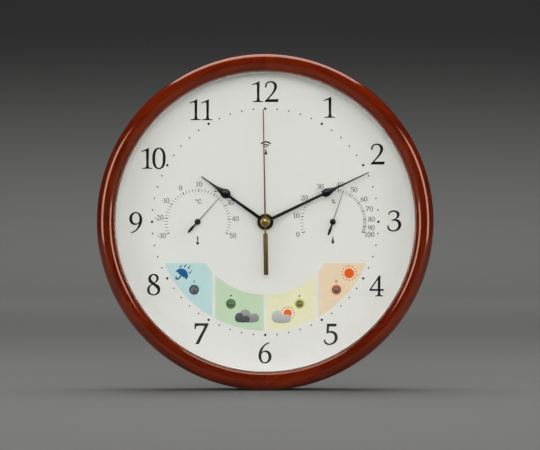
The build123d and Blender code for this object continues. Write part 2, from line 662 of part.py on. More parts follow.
def second_hand():
    """Needle with a bar-shaped counterweight, on a collet."""
    half = [(0.28, SECOND_LENGTH), (0.6, 4.0), (0.8, -4.0), (0.8, -10.2), (2.2, -11.6), (2.2, -50.7)]
    outline = [(-x, z) for x, z in half] + half[::-1]
    hand = slab(Polygon(*outline, align=None) + RegularPolygon(3.4, ROUND_SIDES), *SECOND_HAND)
    hand += facet_disc(1.5, 34.4, SECOND_HAND[0])
    hand -= facet_hole(SECOND_ARBOR_R + 0.02, 34.4, SECOND_HAND[1], sides=ARBOR_SIDES)
    return clock_turn(hand, SECOND_ANGLE)


def hand_cap():
    """Domed cap pressed over the middle of the second hand."""
    rim = SECOND_HAND[1] + CAP_RIM
    return domed(CAP_R, SECOND_HAND[1], rim, CAP_TOP - rim, sides=HUB_SIDES)


# The instruments

STRAP = (12.0, 13.2)      # depths of the strap behind the spiral
STRAP_HALF = (15.0, 3.0)
STRAP_T = 1.2
COIL_DEPTH = (17.0, 20.6)
COIL_INNER = 3.0
COIL_PITCH = 3.1          # radius gained in each turn
COIL_TURNS = 3
COIL_POINTS = 10          # points drawn in each turn
STRIP_T = 0.5
STAFF_R = 0.6
COLLET_R = 1.3


def instrument_bracket(x):
    """U-shaped strap fixed behind the dial by two feet, with a pivot hole for the staff."""
    reach, half = STRAP_HALF
    bracket = block((x - reach, x + reach), (-half, half), *STRAP)
    for side in (-1, 1):
        leg = sorted((x + side * reach, x + side * (reach - STRAP_T)))
        foot = sorted((x + side * (reach - STRAP_T), x + side * (reach + 5)))
        bracket += block(leg, (-half, half), STRAP[0], DIAL_BACK)
        bracket += block(foot, (-half, half), DIAL_BACK - STRAP_T, DIAL_BACK)
    return bracket - facet_hole(STAFF_R + RUNNING, *STRAP, (x, 0), ARBOR_SIDES)


def bimetal_coil(x):
    """Flat spiral strip, from a tab at the staff's collet to a tab at the bracket's leg."""
    turns = [k / COIL_POINTS for k in range(COIL_TURNS * COIL_POINTS + 1)]
    spiral = [(COIL_INNER + COIL_PITCH * t, 2 * pi * t) for t in turns]
    outside = [((r + STRIP_T) * cos(a), (r + STRIP_T) * sin(a)) for r, a in spiral]
    inside = [(r * cos(a), r * sin(a)) for r, a in reversed(spiral)]
    leg = STRAP_HALF[0] - STRAP_T
    end = spiral[-1][0] + STRIP_T
    strip = Polygon(*outside, *inside, align=None)
    strip += Pos((end + leg - 0.3) / 2, 0) * Rectangle(leg - end + 0.3, STRIP_T)
    strip += Pos((COLLET_R + COIL_INNER + 0.3) / 2, 0) * Rectangle(COIL_INNER - COLLET_R + 0.2, STRIP_T)
    return slab(Pos(x, 0) * strip, *COIL_DEPTH)


def instrument_needle(x, length, tail, angle):
    """Staff, collet through the dial, pointer with a counterweight, and a round cap."""
    collet_from = COIL_DEPTH[0] - 0.6
    half = [(0.25, length), (0.4, 2.0), (0.35, -2.0), (0.35, -3.0), (1.0, -6.0), (1.15, -9.0), (0.8, -tail)]
    outline = [(-x, z) for x, z in half] + half[::-1]
    needle = slab(Polygon(*outline, align=None) + RegularPolygon(1.6, SMALL_SIDES), *NEEDLE)
    needle += domed(2.9, NEEDLE[1], 29.1, 0.7, sides=SMALL_SIDES)
    needle += rod(STAFF_R, STRAP[0] + 0.3, collet_from)
    needle += facet_disc(COLLET_R, collet_from, NEEDLE[0])
    return clock_turn(needle, angle, (x, 0))


# The forecast unit

BOX_X = 32.0
BOX_Z = (-101.0, -66.5)
BOX = (LEDGE, BOARD[0])
BOX_CELLS = (-75.9, -91.6)
BOX_CELL_DEPTH = 14.1


def lamp(place):
    """Lamp with a flange on the board and a dome through the dial."""
    flange = facet_disc(LAMP_R + 0.6, BOARD[1], DIAL_BACK, place)
    return flange + domed(LAMP_R, DIAL_BACK, DIAL_FRONT + 0.5, LAMP_DOME, place)


def forecast_board():
    """Board behind the lamps, its lower corners cut to clear the cover's pillars."""
    outline = Polygon((-76, -58), (-76, -74), (-62, -88), (62, -88), (76, -74), (76, -58), align=None)
    return slab(outline, *BOARD)


def pressure_sensor():
    """Round can with a nozzle, on the back of the board."""
    at = (50.0, -72.0)
    return facet_disc(3.2, 20.2, BOARD[0], at) + facet_disc(1.2, 19.4, 20.2, at, ARBOR_SIDES)


def forecast_battery_box():
    """Box for two cells, open towards the back cover's door."""
    box = block((-BOX_X, BOX_X), BOX_Z, *BOX)
    floor = BOX_CELL_DEPTH + AA_R
    box -= block((-BOX_X + WALL, BOX_X - WALL), (BOX_Z[0] + WALL, BOX_Z[1] - WALL), BOX[0], floor)
    middle = sum(BOX_CELLS) / 2
    return box + block((-20, 20), (middle - 0.6, middle + 0.6), 17.0, floor + 0.5)


def forecast_cells():
    return [aa_cell((0.0, z), BOX_CELL_DEPTH, nub) for z, nub in zip(BOX_CELLS, (1, -1))]


def forecast_contacts():
    """Strips at both ends of both cells."""
    strips = []
    for side in (-1, 1):
        wall = side * (BOX_X - WALL)
        for z, nub in zip(BOX_CELLS, (1, -1)):
            tip = side * (AA_LENGTH / 2 + (1.6 if nub == side else 0))
            points = [(wall, 8.5), (wall, 19.5), (tip + side * 0.3, BOX_CELL_DEPTH + 1.5),
                      (tip, BOX_CELL_DEPTH + 1.5), (tip, BOX_CELL_DEPTH - 1.5),
                      (tip + side * 0.3, BOX_CELL_DEPTH - 1.5)]
            profile = make_face(Polyline(*[(x, -d) for x, d in points], close=True))
            strips.append(Pos(0, 0, z) * extrude(profile, 3.5, both=True))
    return strips


def battery_door():
    """Door flush with the back cover, with a finger recess."""
    door = block((-DOOR_X, DOOR_X), DOOR_Z, COVER_BACK, LEDGE - 0.3)
    return door - block((-8, 8), (DOOR_Z[1] - 8, DOOR_Z[1] - 3), COVER_BACK, COVER_BACK + 1.2)


def build():
    """Every piece by the name of its node."""
    pieces = {
        "wood_frame": wood_frame(),
        "front_glass": front_glass(),
        "dial_spacer": dial_spacer(),
        "dial_plate": dial_plate(),
        "back_cover": back_cover(),
        "back_cover_screws": back_cover_screws(),
        "hanger_plate": hanger_plate(),
        "hanger_screws": hanger_screws(),
        "movement_front_case": front_case(),
        "movement_rear_case": rear_case(),
        "rear_plate": rear_plate(),
        "middle_plate": middle_plate(),
        "arbor_bush": arbor_bush(),
        "rubber_washer": rubber_washer(),
        "fixing_nut": fixing_nut(),
        "second_wheel": second_wheel(),
        "second_drive_wheel": second_drive_wheel(),
        "second_rotor": rotor(SECOND_ROTOR, SECOND_ROTOR_PHASE, (10.9, 12.3), MIDDLE_PLATE),
        "second_stator": stator(SECOND_ROTOR, -1),
        "second_coil": coil(SECOND_ROTOR, -1),
        "minute_wheel": minute_wheel(),
        "minute_drive_wheel": minute_drive_wheel(),
        "minute_relay_wheel": minute_relay_wheel(),
        "minute_rotor": rotor(MINUTE_ROTOR, MINUTE_ROTOR_PHASE, (19.9, 21.3), FRONT_BEARING),
        "minute_stator": stator(MINUTE_ROTOR, 1),
        "minute_coil": coil(MINUTE_ROTOR, 1),
        "motion_wheel": motion_wheel(),
        "hour_wheel": hour_wheel(),
        "circuit_board": circuit_board(),
        "quartz_crystal": quartz_crystal(),
        "ferrite_antenna": ferrite_antenna(),
        "antenna_coil": antenna_coil(),
        "battery_cell": battery_cell(),
        "battery_contact_positive": battery_contact(1, AA_LENGTH / 2 + 1.6),
        "battery_contact_negative": battery_contact(-1, AA_LENGTH / 2),
        "hour_hand": hour_hand(),
        "minute_hand": minute_hand(),
        "second_hand": second_hand(),
        "hand_cap": hand_cap(),
        "thermometer_bracket": instrument_bracket(-INSTRUMENT_X),
        "thermometer_coil": bimetal_coil(-INSTRUMENT_X),
        "thermometer_needle": instrument_needle(-INSTRUMENT_X, 30.6, 14.0, THERMOMETER_ANGLE),
        "hygrometer_bracket": instrument_bracket(INSTRUMENT_X),
        "hygrometer_coil": bimetal_coil(INSTRUMENT_X),
        "hygrometer_needle": instrument_needle(INSTRUMENT_X, 31.8, 13.6, HYGROMETER_ANGLE),
        "forecast_board": forecast_board(),
        "pressure_sensor": pressure_sensor(),
        "forecast_battery_box": forecast_battery_box(),
        "forecast_cells": forecast_cells(),
        "forecast_contacts": forecast_contacts(),
        "battery_door": battery_door(),
    }
    for name, place in BUTTONS.items():
        pieces[name] = button(place)
    for name, place in LAMPS.items():
        pieces[name] = lamp(place)
    return pieces


os.makedirs("parts", exist_ok=True)
for name, piece in build().items():
    if isinstance(piece, list):
        piece = Compound(children=piece)
    export_step(piece, f"parts/{name}.step")
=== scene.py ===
# %% [markdown]
# # A round wooden wall clock with weather instruments
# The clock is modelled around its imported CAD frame. Every piece is in metres and in the frame's
# place: +Z is up, +X is to the right as the dial is read, and the dial faces -Y. The wall is the
# plane y = 0, so a depth of 26 mm from the wall is y = -0.026.

# %% Load the frame
from math import cos, pi, radians, sin

import bmesh
import bpy
from mathutils import Matrix, Vector


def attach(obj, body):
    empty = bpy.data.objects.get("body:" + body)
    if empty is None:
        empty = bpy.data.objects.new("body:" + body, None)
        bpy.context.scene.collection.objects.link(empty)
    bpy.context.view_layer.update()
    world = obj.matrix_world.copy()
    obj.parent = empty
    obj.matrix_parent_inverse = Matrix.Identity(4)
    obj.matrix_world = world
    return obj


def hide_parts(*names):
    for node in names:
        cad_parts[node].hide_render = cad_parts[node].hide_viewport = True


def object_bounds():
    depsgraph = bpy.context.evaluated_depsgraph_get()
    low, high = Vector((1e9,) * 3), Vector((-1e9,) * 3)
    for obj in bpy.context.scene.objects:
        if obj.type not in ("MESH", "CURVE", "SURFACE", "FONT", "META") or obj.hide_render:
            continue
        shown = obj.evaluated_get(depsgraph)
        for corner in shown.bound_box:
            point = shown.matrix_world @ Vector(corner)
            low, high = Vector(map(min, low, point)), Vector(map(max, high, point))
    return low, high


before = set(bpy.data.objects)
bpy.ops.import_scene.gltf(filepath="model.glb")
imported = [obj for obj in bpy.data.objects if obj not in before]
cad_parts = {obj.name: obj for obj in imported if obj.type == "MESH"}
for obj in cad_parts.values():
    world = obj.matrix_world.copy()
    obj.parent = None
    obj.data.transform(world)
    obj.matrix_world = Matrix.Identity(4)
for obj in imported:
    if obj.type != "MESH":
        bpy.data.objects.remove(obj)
cad_low, cad_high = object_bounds()
MM = 0.001
print("CAD box", cad_low, cad_high)

# %% [markdown]
# ## Small helpers
# A hex colour is easier to judge by eye than a linear one, so every colour is written as sRGB hex
# and turned to linear by one function. Another function adds a shader node with its settings.

# %% Colours and nodes
def linear(code):
    """Turn an sRGB hex code into Blender's linear colour."""
    parts = [int(code[k:k + 2], 16) / 255 for k in (1, 3, 5)]
    return [c / 12.92 if c <= 0.04045 else ((c + 0.055) / 1.055) ** 2.4 for c in parts] + [1.0]


def add_node(material, kind, inputs=None, **settings):
    """Add a shader node. An input is given a value, or an output socket that is linked to it."""
    made = material.node_tree.nodes.new(kind)
    for name, value in settings.items():
        setattr(made, name, value)
    for name, value in (inputs or {}).items():
        if isinstance(value, bpy.types.NodeSocket):
            material.node_tree.links.new(value, made.inputs[name])
        else:
            made.inputs[name].default_value = value
    return made


def start_material(name, **finish):
    """A new material with its shader's plain values, such as roughness=0.4."""
    material = bpy.data.materials.new(name)
    material.use_nodes = True
    shader = material.node_tree.nodes["Principled BSDF"]
    for socket, value in finish.items():
        shader.inputs[socket.replace("_", " ").title().replace("Ior", "IOR")].default_value = value
    return material, shader


def join_node(material, output, socket):
    """Link one node's output to another's input."""
    material.node_tree.links.new(output, socket)


def two_tones(material, shader, pattern, dark, light, low=0.35, high=0.65):
    """Colour the shader between two tones by a pattern's value."""
    ramp = add_node(material, "ShaderNodeValToRGB", {"Fac": pattern})
    ramp.color_ramp.elements[0].position, ramp.color_ramp.elements[1].position = low, high
    ramp.color_ramp.elements[0].color = linear(dark)
    ramp.color_ramp.elements[1].color = linear(light)
    join_node(material, ramp.outputs["Color"], shader.inputs["Base Color"])


def relief(material, shader, pattern, height):
    """Raise the surface by a pattern, its height in metres."""
    bump = add_node(material, "ShaderNodeBump", {"Height": pattern, "Distance": height})
    join_node(material, bump.outputs["Normal"], shader.inputs["Normal"])


def place_of(material, stretch=(1, 1, 1)):
    """The point on the piece, in metres, stretched along each axis."""
    where = add_node(material, "ShaderNodeTexCoord")
    return add_node(material, "ShaderNodeMapping", {
        "Vector": where.outputs["Object"], "Scale": stretch})


# %% [markdown]
# ## The wood
# The ring is turned from beech staves that are glued end to end, stained red-brown and sprayed
# with a thick gloss lacquer. So each sixth of the ring has its own grain direction and a slightly
# different tone, and the clear coat above it is smooth. The angle round the axis gives the stave,
# the point is turned back by that stave's angle, and a noise stretched along the stave draws the
# grain. Real pores are 0.1 mm wide; they are drawn about 0.9 mm wide so that they show.

# %% Lacquered beech
STAVES = 6
GRAIN_WIDTH = 0.9 * MM
GRAIN_LENGTH = 26 * MM


def lacquered_beech():
    """Stained wood whose grain follows each stave, under a clear coat."""
    wood, shader = start_material("lacquered_beech", roughness=0.13, ior=1.8,
                                  specular_tint=linear("#FFC090"), coat_weight=0.5,
                                  coat_roughness=0.05, coat_ior=1.7)
    where = add_node(wood, "ShaderNodeTexCoord").outputs["Object"]
    parts = add_node(wood, "ShaderNodeSeparateXYZ", {"Vector": where})
    angle = add_node(wood, "ShaderNodeMath", {0: parts.outputs["Z"], 1: parts.outputs["X"]},
                     operation="ARCTAN2")
    share = add_node(wood, "ShaderNodeMath", {0: angle.outputs[0], 1: STAVES / (2 * pi)},
                     operation="MULTIPLY")
    stave = add_node(wood, "ShaderNodeMath", {0: share.outputs[0]}, operation="ROUND")
    turn = add_node(wood, "ShaderNodeMath", {0: stave.outputs[0], 1: 2 * pi / STAVES},
                    operation="MULTIPLY")
    turned = add_node(wood, "ShaderNodeVectorRotate", {"Vector": where, "Angle": turn.outputs[0]},
                      rotation_type="Y_AXIS")
    shifted = add_node(wood, "ShaderNodeCombineXYZ", {"X": stave.outputs[0]})
    apart = add_node(wood, "ShaderNodeVectorMath", {0: turned.outputs[0], 1: shifted.outputs[0]},
                     operation="ADD")
    grain_at = add_node(wood, "ShaderNodeMapping", {
        "Vector": apart.outputs[0],
        "Scale": (1 / GRAIN_WIDTH, 1 / GRAIN_WIDTH, 1 / GRAIN_LENGTH)})
    grain = add_node(wood, "ShaderNodeTexNoise", {
        "Vector": grain_at.outputs[0], "Scale": 0.5, "Detail": 4.0, "Roughness": 0.6,
        "Distortion": 0.3})
    figure_at = add_node(wood, "ShaderNodeMapping", {"Vector": apart.outputs[0], "Scale": (90, 90, 14)})
    figure = add_node(wood, "ShaderNodeTexNoise", {
        "Vector": figure_at.outputs[0], "Scale": 1.0, "Detail": 3.0, "Roughness": 0.5})
    mixed = add_node(wood, "ShaderNodeMath", {0: grain.outputs["Fac"], 1: 0.5, 2: 0.0},
                     operation="MULTIPLY_ADD")
    both = add_node(wood, "ShaderNodeMath", {0: figure.outputs["Fac"], 1: 0.5, 2: mixed.outputs[0]},
                    operation="MULTIPLY_ADD")
    two_tones(wood, shader, both.outputs[0], "#5C0D00", "#8A2600", 0.36, 0.66)
    relief(wood, shader, grain.outputs["Fac"], 0.01 * MM)
    return wood


wood_finish = lacquered_beech()


# %% [markdown]
# ## Plastics, print and enamel
# Injection-moulded ABS takes the fine spark texture of its mould, which shows as a grain of about
# half a millimetre and a soft sheen. Screen-printed ink lies matt on the dial, and its tone varies
# a little with the thickness of the film. Enamel on the hands is smoother and darker. Where a tone
# also follows the height of a point, as on a gradient, the noise only breaks it up a little.

# %% A finish with a fine mottle
def mottled(name, dark, light, grain_mm, height_mm, **finish):
    """A surface whose tone and height vary by a fine noise, with a grain size in millimetres."""
    material, shader = start_material(name, **finish)
    at = place_of(material)
    noise = add_node(material, "ShaderNodeTexNoise", {
        "Vector": at.outputs[0], "Scale": 1 / (grain_mm * MM), "Detail": 2.0, "Roughness": 0.5})
    two_tones(material, shader, noise.outputs["Fac"], dark, light)
    relief(material, shader, noise.outputs["Fac"], height_mm * MM)
    return material


def graded(name, axis, span_mm, tones, stops, noise, share, easing="LINEAR", height_mm=0, **finish):
    """A finish whose tone follows a point's place along an axis, with a share of noise added."""
    material, shader = start_material(name, **finish)
    at = place_of(material).outputs[0]
    parts = add_node(material, "ShaderNodeSeparateXYZ", {"Vector": at})
    grain = add_node(material, "ShaderNodeTexNoise", {
        "Vector": at, "Scale": noise[0], "Detail": noise[1]})
    spread = add_node(material, "ShaderNodeMapRange", {
        "Value": parts.outputs[axis], "From Min": span_mm[0] * MM, "From Max": span_mm[1] * MM},
        interpolation_type=easing)
    level = add_node(material, "ShaderNodeMath", {
        0: grain.outputs["Fac"], 1: share, 2: spread.outputs[0]}, operation="MULTIPLY_ADD")
    two_tones(material, shader, level.outputs[0], *tones, *stops)
    if height_mm:
        relief(material, shader, grain.outputs["Fac"], height_mm * MM)
    return material


dial_finish = mottled("matt_white_paint", "#D6D6D3", "#DBDBD8", 1.2, 0.002, roughness=0.55)
spacer_finish = mottled("white_moulded_abs", "#E4E3DE", "#EAE9E5", 1.5, 0.004, roughness=0.4)
cover_finish = mottled("grey_spark_textured_abs", "#303031", "#414142", 0.6, 0.03, roughness=0.55)
shell_finish = mottled("black_spark_textured_abs", "#131313", "#232324", 0.6, 0.03, roughness=0.5)
acetal_finish = mottled("natural_acetal", "#D6D0BE", "#E2DDCE", 1.5, 0.004, roughness=0.35)
rubber_finish = mottled("soft_rubber", "#101010", "#1C1C1C", 0.8, 0.02, roughness=0.85)
red_finish = mottled("red_moulded_abs", "#8E140E", "#A01B14", 0.8, 0.01, roughness=0.35)
board_finish = mottled("green_solder_mask", "#0E4A22", "#15602C", 0.9, 0.02, roughness=0.3)
wrapper_finish = mottled("cell_wrapper_film", "#22384A", "#2B4560", 2.5, 0.004, roughness=0.28)
band_finish = mottled("cell_wrapper_band", "#8E6A22", "#A67E2E", 2.5, 0.004, roughness=0.3)
enamel_finish = mottled("black_enamel", "#020202", "#050505", 0.9, 0.003, roughness=0.3,
                        specular_ior_level=0.3)
ink_finish = mottled("black_screen_ink", "#020202", "#070707", 0.7, 0.002, roughness=0.7,
                     specular_ior_level=0.2)
grey_ink_finish = mottled("grey_screen_ink", "#2E2E2E", "#3C3C3C", 0.7, 0.002, roughness=0.7,
                          specular_ior_level=0.2)
ferrite_finish = mottled("ground_ferrite", "#1E1E21", "#2C2C30", 0.7, 0.02, roughness=0.5)

# %% [markdown]
# ## Metals
# Zinc-plated and nickel-plated steel are grey mirrors with fine rolling marks, which a noise
# stretched along one axis gives. Brass is the same with a yellow colour. The second hand is
# brushed sheet under a gold lacquer, so it is darker and more olive than bare brass.

# %% A rolled or drawn metal
def rolled_metal(name, dark, light, roughness, line_mm=0.3, metallic=1.0):
    """A metal with fine lines along Z, line_mm wide and twenty times as long."""
    metal, shader = start_material(name, metallic=metallic, roughness=roughness)
    lines_at = place_of(metal, (1 / (line_mm * MM), 1 / (line_mm * MM), 1 / (20 * line_mm * MM)))
    lines = add_node(metal, "ShaderNodeTexNoise", {
        "Vector": lines_at.outputs[0], "Scale": 0.5, "Detail": 2.0})
    two_tones(metal, shader, lines.outputs["Fac"], dark, light)
    relief(metal, shader, lines.outputs["Fac"], 0.004 * MM)
    return metal


zinc_finish = rolled_metal("zinc_plated_steel", "#A7A8A4", "#BDBEBA", 0.32)
nickel_finish = rolled_metal("nickel_plated_steel", "#B3B0A8", "#C6C3BA", 0.24)
iron_finish = rolled_metal("stamped_soft_iron", "#7D7D7C", "#959594", 0.42)
brass_finish = rolled_metal("turned_brass", "#94804A", "#AE9860", 0.26)
gold_finish = rolled_metal("gold_lacquered_sheet", "#54451A", "#625125", 0.42, metallic=0.5)
copper_finish = rolled_metal("enamelled_copper_wire", "#9A4E24", "#BC6A36", 0.3, 0.5)

# %% [markdown]
# ## Glass and lenses
# Float glass bends and reflects light at its faces, but a path tracer would then shade the dial as
# if the pane were solid. A Light Path node lets shadow rays through, so the lamps light the dial.

# %% Clear glass
def clear_glass(name, tint):
    """Polished glass that casts no shadow."""
    glass, shader = start_material(name, roughness=0.0, ior=1.5, transmission_weight=1.0)
    shader.inputs["Base Color"].default_value = linear(tint)
    clear = add_node(glass, "ShaderNodeBsdfTransparent", {"Color": linear(tint)})
    rays = add_node(glass, "ShaderNodeLightPath")
    either = add_node(glass, "ShaderNodeMixShader", {
        0: rays.outputs["Is Shadow Ray"], 1: shader.outputs["BSDF"], 2: clear.outputs["BSDF"]})
    surface = glass.node_tree.nodes["Material Output"].inputs["Surface"]
    join_node(glass, either.outputs["Shader"], surface)
    return glass


glass_finish = clear_glass("float_glass", "#FEFEFD")

# %% [markdown]
# ## Modelling helpers
# A Blender operator acts on all that is selected, so each step starts from an empty selection. A
# finished piece has its place in its mesh and its object at the origin, as the CAD nodes have.

# %% Selecting and finishing
def clear_selection():
    """Leave edit mode and deselect everything."""
    if bpy.context.object and bpy.context.object.mode != "OBJECT":
        bpy.ops.object.mode_set(mode="OBJECT")
    bpy.ops.object.select_all(action="DESELECT")


def take(piece):
    """Select one piece alone."""
    clear_selection()
    piece.select_set(True)
    bpy.context.view_layer.objects.active = piece


def apply_place(piece):
    """Move a piece's place, turn and size into its mesh."""
    take(piece)
    bpy.ops.object.transform_apply(location=True, rotation=True, scale=True)


def tidy_mesh(piece, merge_mm=0.0005):
    """Merge doubled points and turn every face outwards."""
    take(piece)
    bpy.ops.object.mode_set(mode="EDIT")
    bpy.ops.mesh.select_all(action="SELECT")
    bpy.ops.mesh.remove_doubles(threshold=merge_mm * MM)
    bpy.ops.mesh.normals_make_consistent(inside=False)
    bpy.ops.object.mode_set(mode="OBJECT")


def smooth(piece, angle=35):
    """Shade smoothly, with edges sharper than an angle in degrees kept crisp."""
    take(piece)
    bpy.ops.object.shade_smooth_by_angle(angle=radians(angle))


def use_modifier(piece, kind, **settings):
    """Add a modifier, set it and apply it."""
    take(piece)
    bpy.ops.object.modifier_add(type=kind)
    modifier = piece.modifiers[-1]
    for name, value in settings.items():
        setattr(modifier, name, value)
    bpy.ops.object.modifier_apply(modifier=modifier.name)


def cut(piece, tool, operation="DIFFERENCE"):
    """Cut a closed shape out of a piece, or join it on, and delete the tool."""
    use_modifier(piece, "BOOLEAN", object=tool, operation=operation, solver="EXACT")
    bpy.data.objects.remove(tool, do_unlink=True)
    return piece


def joined(name, pieces):
    """Make several meshes one object."""
    clear_selection()
    for piece in pieces:
        piece.select_set(True)
    bpy.context.view_layer.objects.active = pieces[0]
    bpy.ops.object.join()
    pieces[0].name = pieces[0].data.name = name
    return pieces[0]


def keep(piece, finish, body="case", replaces=()):
    """Give a finished piece its material and its body, and hide the CAD nodes it stands for."""
    apply_place(piece)
    piece.data.materials.clear()
    piece.data.materials.append(finish)
    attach(piece, body)
    if replaces:
        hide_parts(*replaces)
    print(piece.name, len(piece.data.polygons), "faces", [round(v / MM, 1) for v in piece.dimensions])
    return piece


# %% [markdown]
# ## Turning on a lathe
# Most of the clock is turned or punched round, so its outline is drawn point by point, each point
# extruded from the last, and spun about an axis square to the dial.

# %% Lathe
FINE_STEPS = 256
SMALL_STEPS = 64


def lathe(name, outline, at=(0, 0), steps=SMALL_STEPS):
    """Spin a closed outline of (radius, depth) pairs, in millimetres, about an axis at (x, z)."""
    x, z = at[0] * MM, at[1] * MM
    clear_selection()
    first = (x + outline[0][0] * MM, -outline[0][1] * MM, z)
    bpy.ops.mesh.primitive_plane_add(size=MM, location=first)
    piece = bpy.context.object
    piece.name = piece.data.name = name
    bpy.ops.object.mode_set(mode="EDIT")
    bpy.ops.mesh.merge(type="CENTER")
    for last, point in zip(outline, outline[1:]):
        move = ((point[0] - last[0]) * MM, (last[1] - point[1]) * MM, 0)
        bpy.ops.mesh.extrude_vertices_move(TRANSFORM_OT_translate={"value": move})
    if outline[0][0] > 0 or outline[-1][0] > 0:
        ends = bmesh.from_edit_mesh(piece.data)
        loose = [v for v in ends.verts if len(v.link_edges) == 1]
        ends.edges.new(loose)
        bmesh.update_edit_mesh(piece.data)
    bpy.ops.mesh.select_all(action="SELECT")
    bpy.ops.mesh.spin(steps=steps, angle=2 * pi, center=(x, 0, z), axis=(0, 1, 0))
    tidy_mesh(piece)
    smooth(piece)
    apply_place(piece)
    return piece


def arc(centre_r, centre_depth, radius_r, radius_depth, start, end, points):
    """Points of an elliptical arc, its angles in degrees counted from outwards to the front."""
    angles = [radians(start + (end - start) * k / (points - 1)) for k in range(points)]
    return [(centre_r + radius_r * cos(a), centre_depth + radius_depth * sin(a)) for a in angles]


# %% [markdown]
# ## The wooden ring
# The ring is one lathe piece. Its front is half round and ends in the lip that holds the glass.
# Behind are two rebates, one for glass, spacer and dial and a wider one for the back cover. The
# arrises at the back are eased by half a millimetre, as sanding leaves them.

# %% Turn the ring
RING_R = 159.85
SIGHT_R = 142.0
CREST_DEPTH = 51.0
LIP_DEPTH = 42.5
REBATE_R = 147.5
COVER_REBATE = (154.0, 6.5)
BACK_R = 158.4
EASE = 0.5

crest_r = (RING_R + SIGHT_R) / 2
crest_half = (RING_R - SIGHT_R) / 2
ring_outline = arc(crest_r, LIP_DEPTH, crest_half, CREST_DEPTH - LIP_DEPTH, 0, 180, 33)
ring_outline += [(REBATE_R, LIP_DEPTH), (REBATE_R, COVER_REBATE[1]), COVER_REBATE]
ring_outline += [(COVER_REBATE[0], EASE), (COVER_REBATE[0] + EASE, 0), (BACK_R - EASE, 0), (BACK_R, EASE)]
ring = lathe("turned_ring", ring_outline, steps=FINE_STEPS)
keep(ring, wood_finish, replaces=["wood_frame"])

# %% [markdown]
# ## Glass and spacer
# The pane is cut from 2 mm float glass and its arrises are ground, so it has a fine bevel. The
# white spacer behind it flares towards the glass and gives the dial its soft grey border.

# %% Pane and spacer
DIAL_FRONT = 26.0
PANE_BACK = 40.5
PANE_R = 147.15
FLAT_R = 146.9
BEVEL = PANE_R - FLAT_R

pane = lathe("glass_pane", [
    (0, PANE_BACK), (FLAT_R, PANE_BACK), (PANE_R, PANE_BACK + BEVEL), (PANE_R, LIP_DEPTH - BEVEL),
    (FLAT_R, LIP_DEPTH), (0, LIP_DEPTH)], steps=FINE_STEPS)
keep(pane, glass_finish, replaces=["front_glass"])
spacer = lathe("spacer_ring", [(142.25, DIAL_FRONT), (FLAT_R, DIAL_FRONT), (FLAT_R, PANE_BACK),
                               (143.45, PANE_BACK)], steps=FINE_STEPS)
keep(spacer, spacer_finish, replaces=["dial_spacer"])

# %% [markdown]
# ## The dial plate
# The dial is a punched aluminium sheet painted matt white. It is turned as a disc, and the holes
# for the hands, the two instruments and the four lamps are then punched with cutters.

# %% Punch the dial
DIAL_BACK = 25.0
DIAL_R = 146.8
INSTRUMENT_X = 64.5
LAMPS = {"rain": (-67.9, -64.8), "falling": (-32.8, -78.3), "rising": (32.8, -78.3),
         "fair": (67.9, -64.8)}


def punch(radius, at):
    """A round cutter that goes through the dial."""
    middle = (DIAL_BACK + DIAL_FRONT) / 2
    clear_selection()
    bpy.ops.mesh.primitive_cylinder_add(vertices=48, radius=radius * MM, depth=6 * MM,
                                        location=(at[0] * MM, -middle * MM, at[1] * MM),
                                        rotation=(pi / 2, 0, 0))
    return bpy.context.object


dial = lathe("dial_sheet", [(0, DIAL_BACK), (DIAL_R, DIAL_BACK), (DIAL_R, DIAL_FRONT), (0, DIAL_FRONT)],
             steps=FINE_STEPS)
cut(dial, punch(4.1, (0, 0)))
for side in (-1, 1):
    cut(dial, punch(1.4, (side * INSTRUMENT_X, 0)))
for lamp_at in LAMPS.values():
    cut(dial, punch(3.15, lamp_at))
keep(dial, dial_finish, replaces=["dial_plate"])

# %% [markdown]
# ## Flat shapes
# Print, hands and pointers are flat. Their outlines are drawn as 2D curves, whose corners are kept
# sharp and whose other points are rounded by automatic handles. A closed loop inside another one
# is a hole. The curve is given its thickness and becomes a mesh that stands up in the dial's plane.

# %% Flat shape from loops of points
def flat_shape(name, loops, near, far, at=(0, 0), turn=0.0, scale=1.0, edge=0.0, bold=0.0,
               resolution=8):
    """Loops of (x, z) or (x, z, "c") points in millimetres, where c marks a corner.

    The shape grows by bold on every side, and an edge of that size rounds its arrises.
    """
    outline = bpy.data.curves.new(name, "CURVE")
    outline.dimensions = "2D"
    outline.fill_mode = "BOTH"
    outline.resolution_u = resolution
    outline.extrude = ((far - near) / 2 - edge) * MM
    outline.bevel_depth = edge * MM
    outline.bevel_resolution = 1
    outline.offset = (bold - edge) * MM
    for loop in loops:
        spline = outline.splines.new("BEZIER")
        spline.bezier_points.add(len(loop) - 1)
        spline.use_cyclic_u = True
        for point, spot in zip(spline.bezier_points, loop):
            point.co = (spot[0] * scale * MM, spot[1] * scale * MM, 0)
            sharp = len(spot) > 2
            point.handle_left_type = point.handle_right_type = "VECTOR" if sharp else "AUTO"
    piece = bpy.data.objects.new(name, outline)
    bpy.context.scene.collection.objects.link(piece)
    piece.matrix_world = (Matrix.Translation((at[0] * MM, -(near + far) / 2 * MM, at[1] * MM))
                          @ Matrix.Rotation(radians(turn), 4, "Y") @ Matrix.Rotation(pi / 2, 4, "X"))
    take(piece)
    bpy.ops.object.convert(target="MESH")
    piece = bpy.context.object
    piece.name = piece.data.name = name
    apply_place(piece)
    tidy_mesh(piece, 0.002)
    smooth(piece, 30)
    return piece


def mirrored(side):
    """Close a loop from its right-hand half, given from the bottom up."""
    return side + [(-point[0],) + tuple(point[1:]) for point in reversed(side)]


# %% [markdown]
# ## The numerals
# The dial has upright lining figures in an old-style roman hand, 19.7 mm high: heavy on the right
# shoulder, thin at the hook, with bracketed feet. Each figure is drawn on a grid of 100 units for
# its height. No font file is read, so each one is an outline of its own. A table gives each
# number's centre and width, in millimetres.

